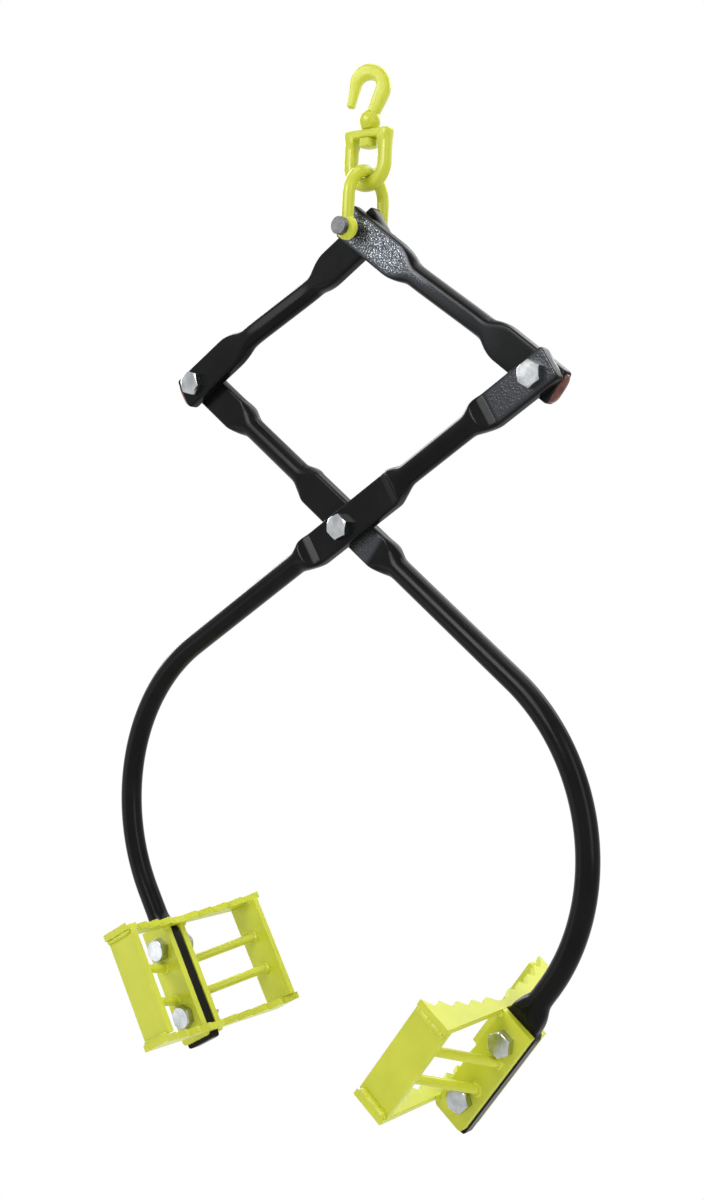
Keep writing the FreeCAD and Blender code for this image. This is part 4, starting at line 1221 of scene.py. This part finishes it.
# %% [markdown]
# Straight beads run down the outside of the end plates under the overhang of the toothed plates, a short
# lump sits at each corner of the clamp, and every rod has a ring at both ends. All are worked out in the
# jaw's own frame and then carried to the arm's tail, so one set of numbers serves both jaws.

# %% Jaw welds
JAW_TURN = 1.0
END_OUTER = 81.5
END_INNER = 75.5
PLATE_INNER = 47.0
CLAMP_EDGE = 16.0
CLAMP_OUTER = 11.5
PLATE_TIP = 48.5
ROD_RISE = 15.5
ROD_AT_CLAMP = -5.0
ROD_AT_END = 30.0
BEAD_START = CLAMP_EDGE + 0.5
BEAD_END = PLATE_TIP - 2
BEAD_PROUD = 1.0
BEAD_ACROSS = (0, 0.95, 0)
BEAD_LIFT = (0, 0, 1.1)
LOW_BEAD_INSET = 0.5
HIGH_BEAD_INSET = 0.85
LUMP_OUT = CLAMP_OUTER + 0.6
LUMP_RISE = PLATE_INNER + 1.0
LUMP_START = CLAMP_EDGE - 1
LUMP_END = CLAMP_EDGE - 0.4
LUMP_INWARDS = 5.0
LUMP_OUTWARDS = 2.0
LUMP_RADIUS = 3.1
LUMP_RADIUS_CHANGE = 0.4
RING_RADIUS = 2.2
SEED_STEP = 50
LEFT_BEAD = 1.8
RIGHT_BEAD = 3.1


def jaw_welds(seed, bead):
    """All weld of one jaw in its own frame: X to the load, Z up the arm's tail. Bead is the radius of the
    beads that run along the end plates."""
    shells = []
    slope = np.hypot(ROD_AT_END - ROD_AT_CLAMP, END_INNER - CLAMP_OUTER) / (END_INNER - CLAMP_OUTER)
    for side in (-1, 1):
        for level in (-1, 1):
            seed += 1
            inset = LOW_BEAD_INSET if level < 0 else HIGH_BEAD_INSET * bead
            y = side * (END_OUTER + BEAD_PROUD)
            z = level * (PLATE_INNER - inset)
            shells.append(straight_bead((BEAD_START, y, z), (BEAD_END, y, z), BEAD_ACROSS, BEAD_LIFT, bead,
                                        seed))
            lump_y = side * LUMP_OUT
            lump_z = level * LUMP_RISE
            shells.append(straight_bead((LUMP_START, lump_y - LUMP_INWARDS * side, lump_z),
                                        (LUMP_END, lump_y + LUMP_OUTWARDS * side, lump_z),
                                        (1, 0, 0), (0, 0, 1), LUMP_RADIUS + LUMP_RADIUS_CHANGE * level,
                                        seed + SEED_STEP))
            rod_z = level * ROD_RISE
            shells.append(ring_bead((ROD_AT_CLAMP, side * CLAMP_OUTER, rod_z), side, slope, RING_RADIUS,
                                    seed + 2 * SEED_STEP))
            shells.append(ring_bead((ROD_AT_END, side * END_INNER, rod_z), -side, slope, RING_RADIUS,
                                    seed + 3 * SEED_STEP))
    return shells


jaw_in_arm, _ = arm_path(np.array([jaw_station]))
jaw_offset = np.array([jaw_in_arm[0, 0], -LAYER_GAP - BAR, jaw_in_arm[0, 1]])
for side, half_turn, body, seed, bead in (("left", False, "front_arm_body", 7, LEFT_BEAD),
                                          ("right", True, "rear_arm_body", 31, RIGHT_BEAD)):
    shells = []
    for points, quads, triangles in jaw_welds(seed, bead):
        in_arm = to_place(points, jaw_offset, JAW_TURN)
        shells.append((to_place(in_arm, centre_pivot, -LEAN, half_turn), quads, triangles))
    new_piece(f"{side}_jaw_welds", shells, lime_paint, body)

# %% [markdown]
# Last, the view layer is brought up to date.

# %% Update
bpy.context.view_layer.update()
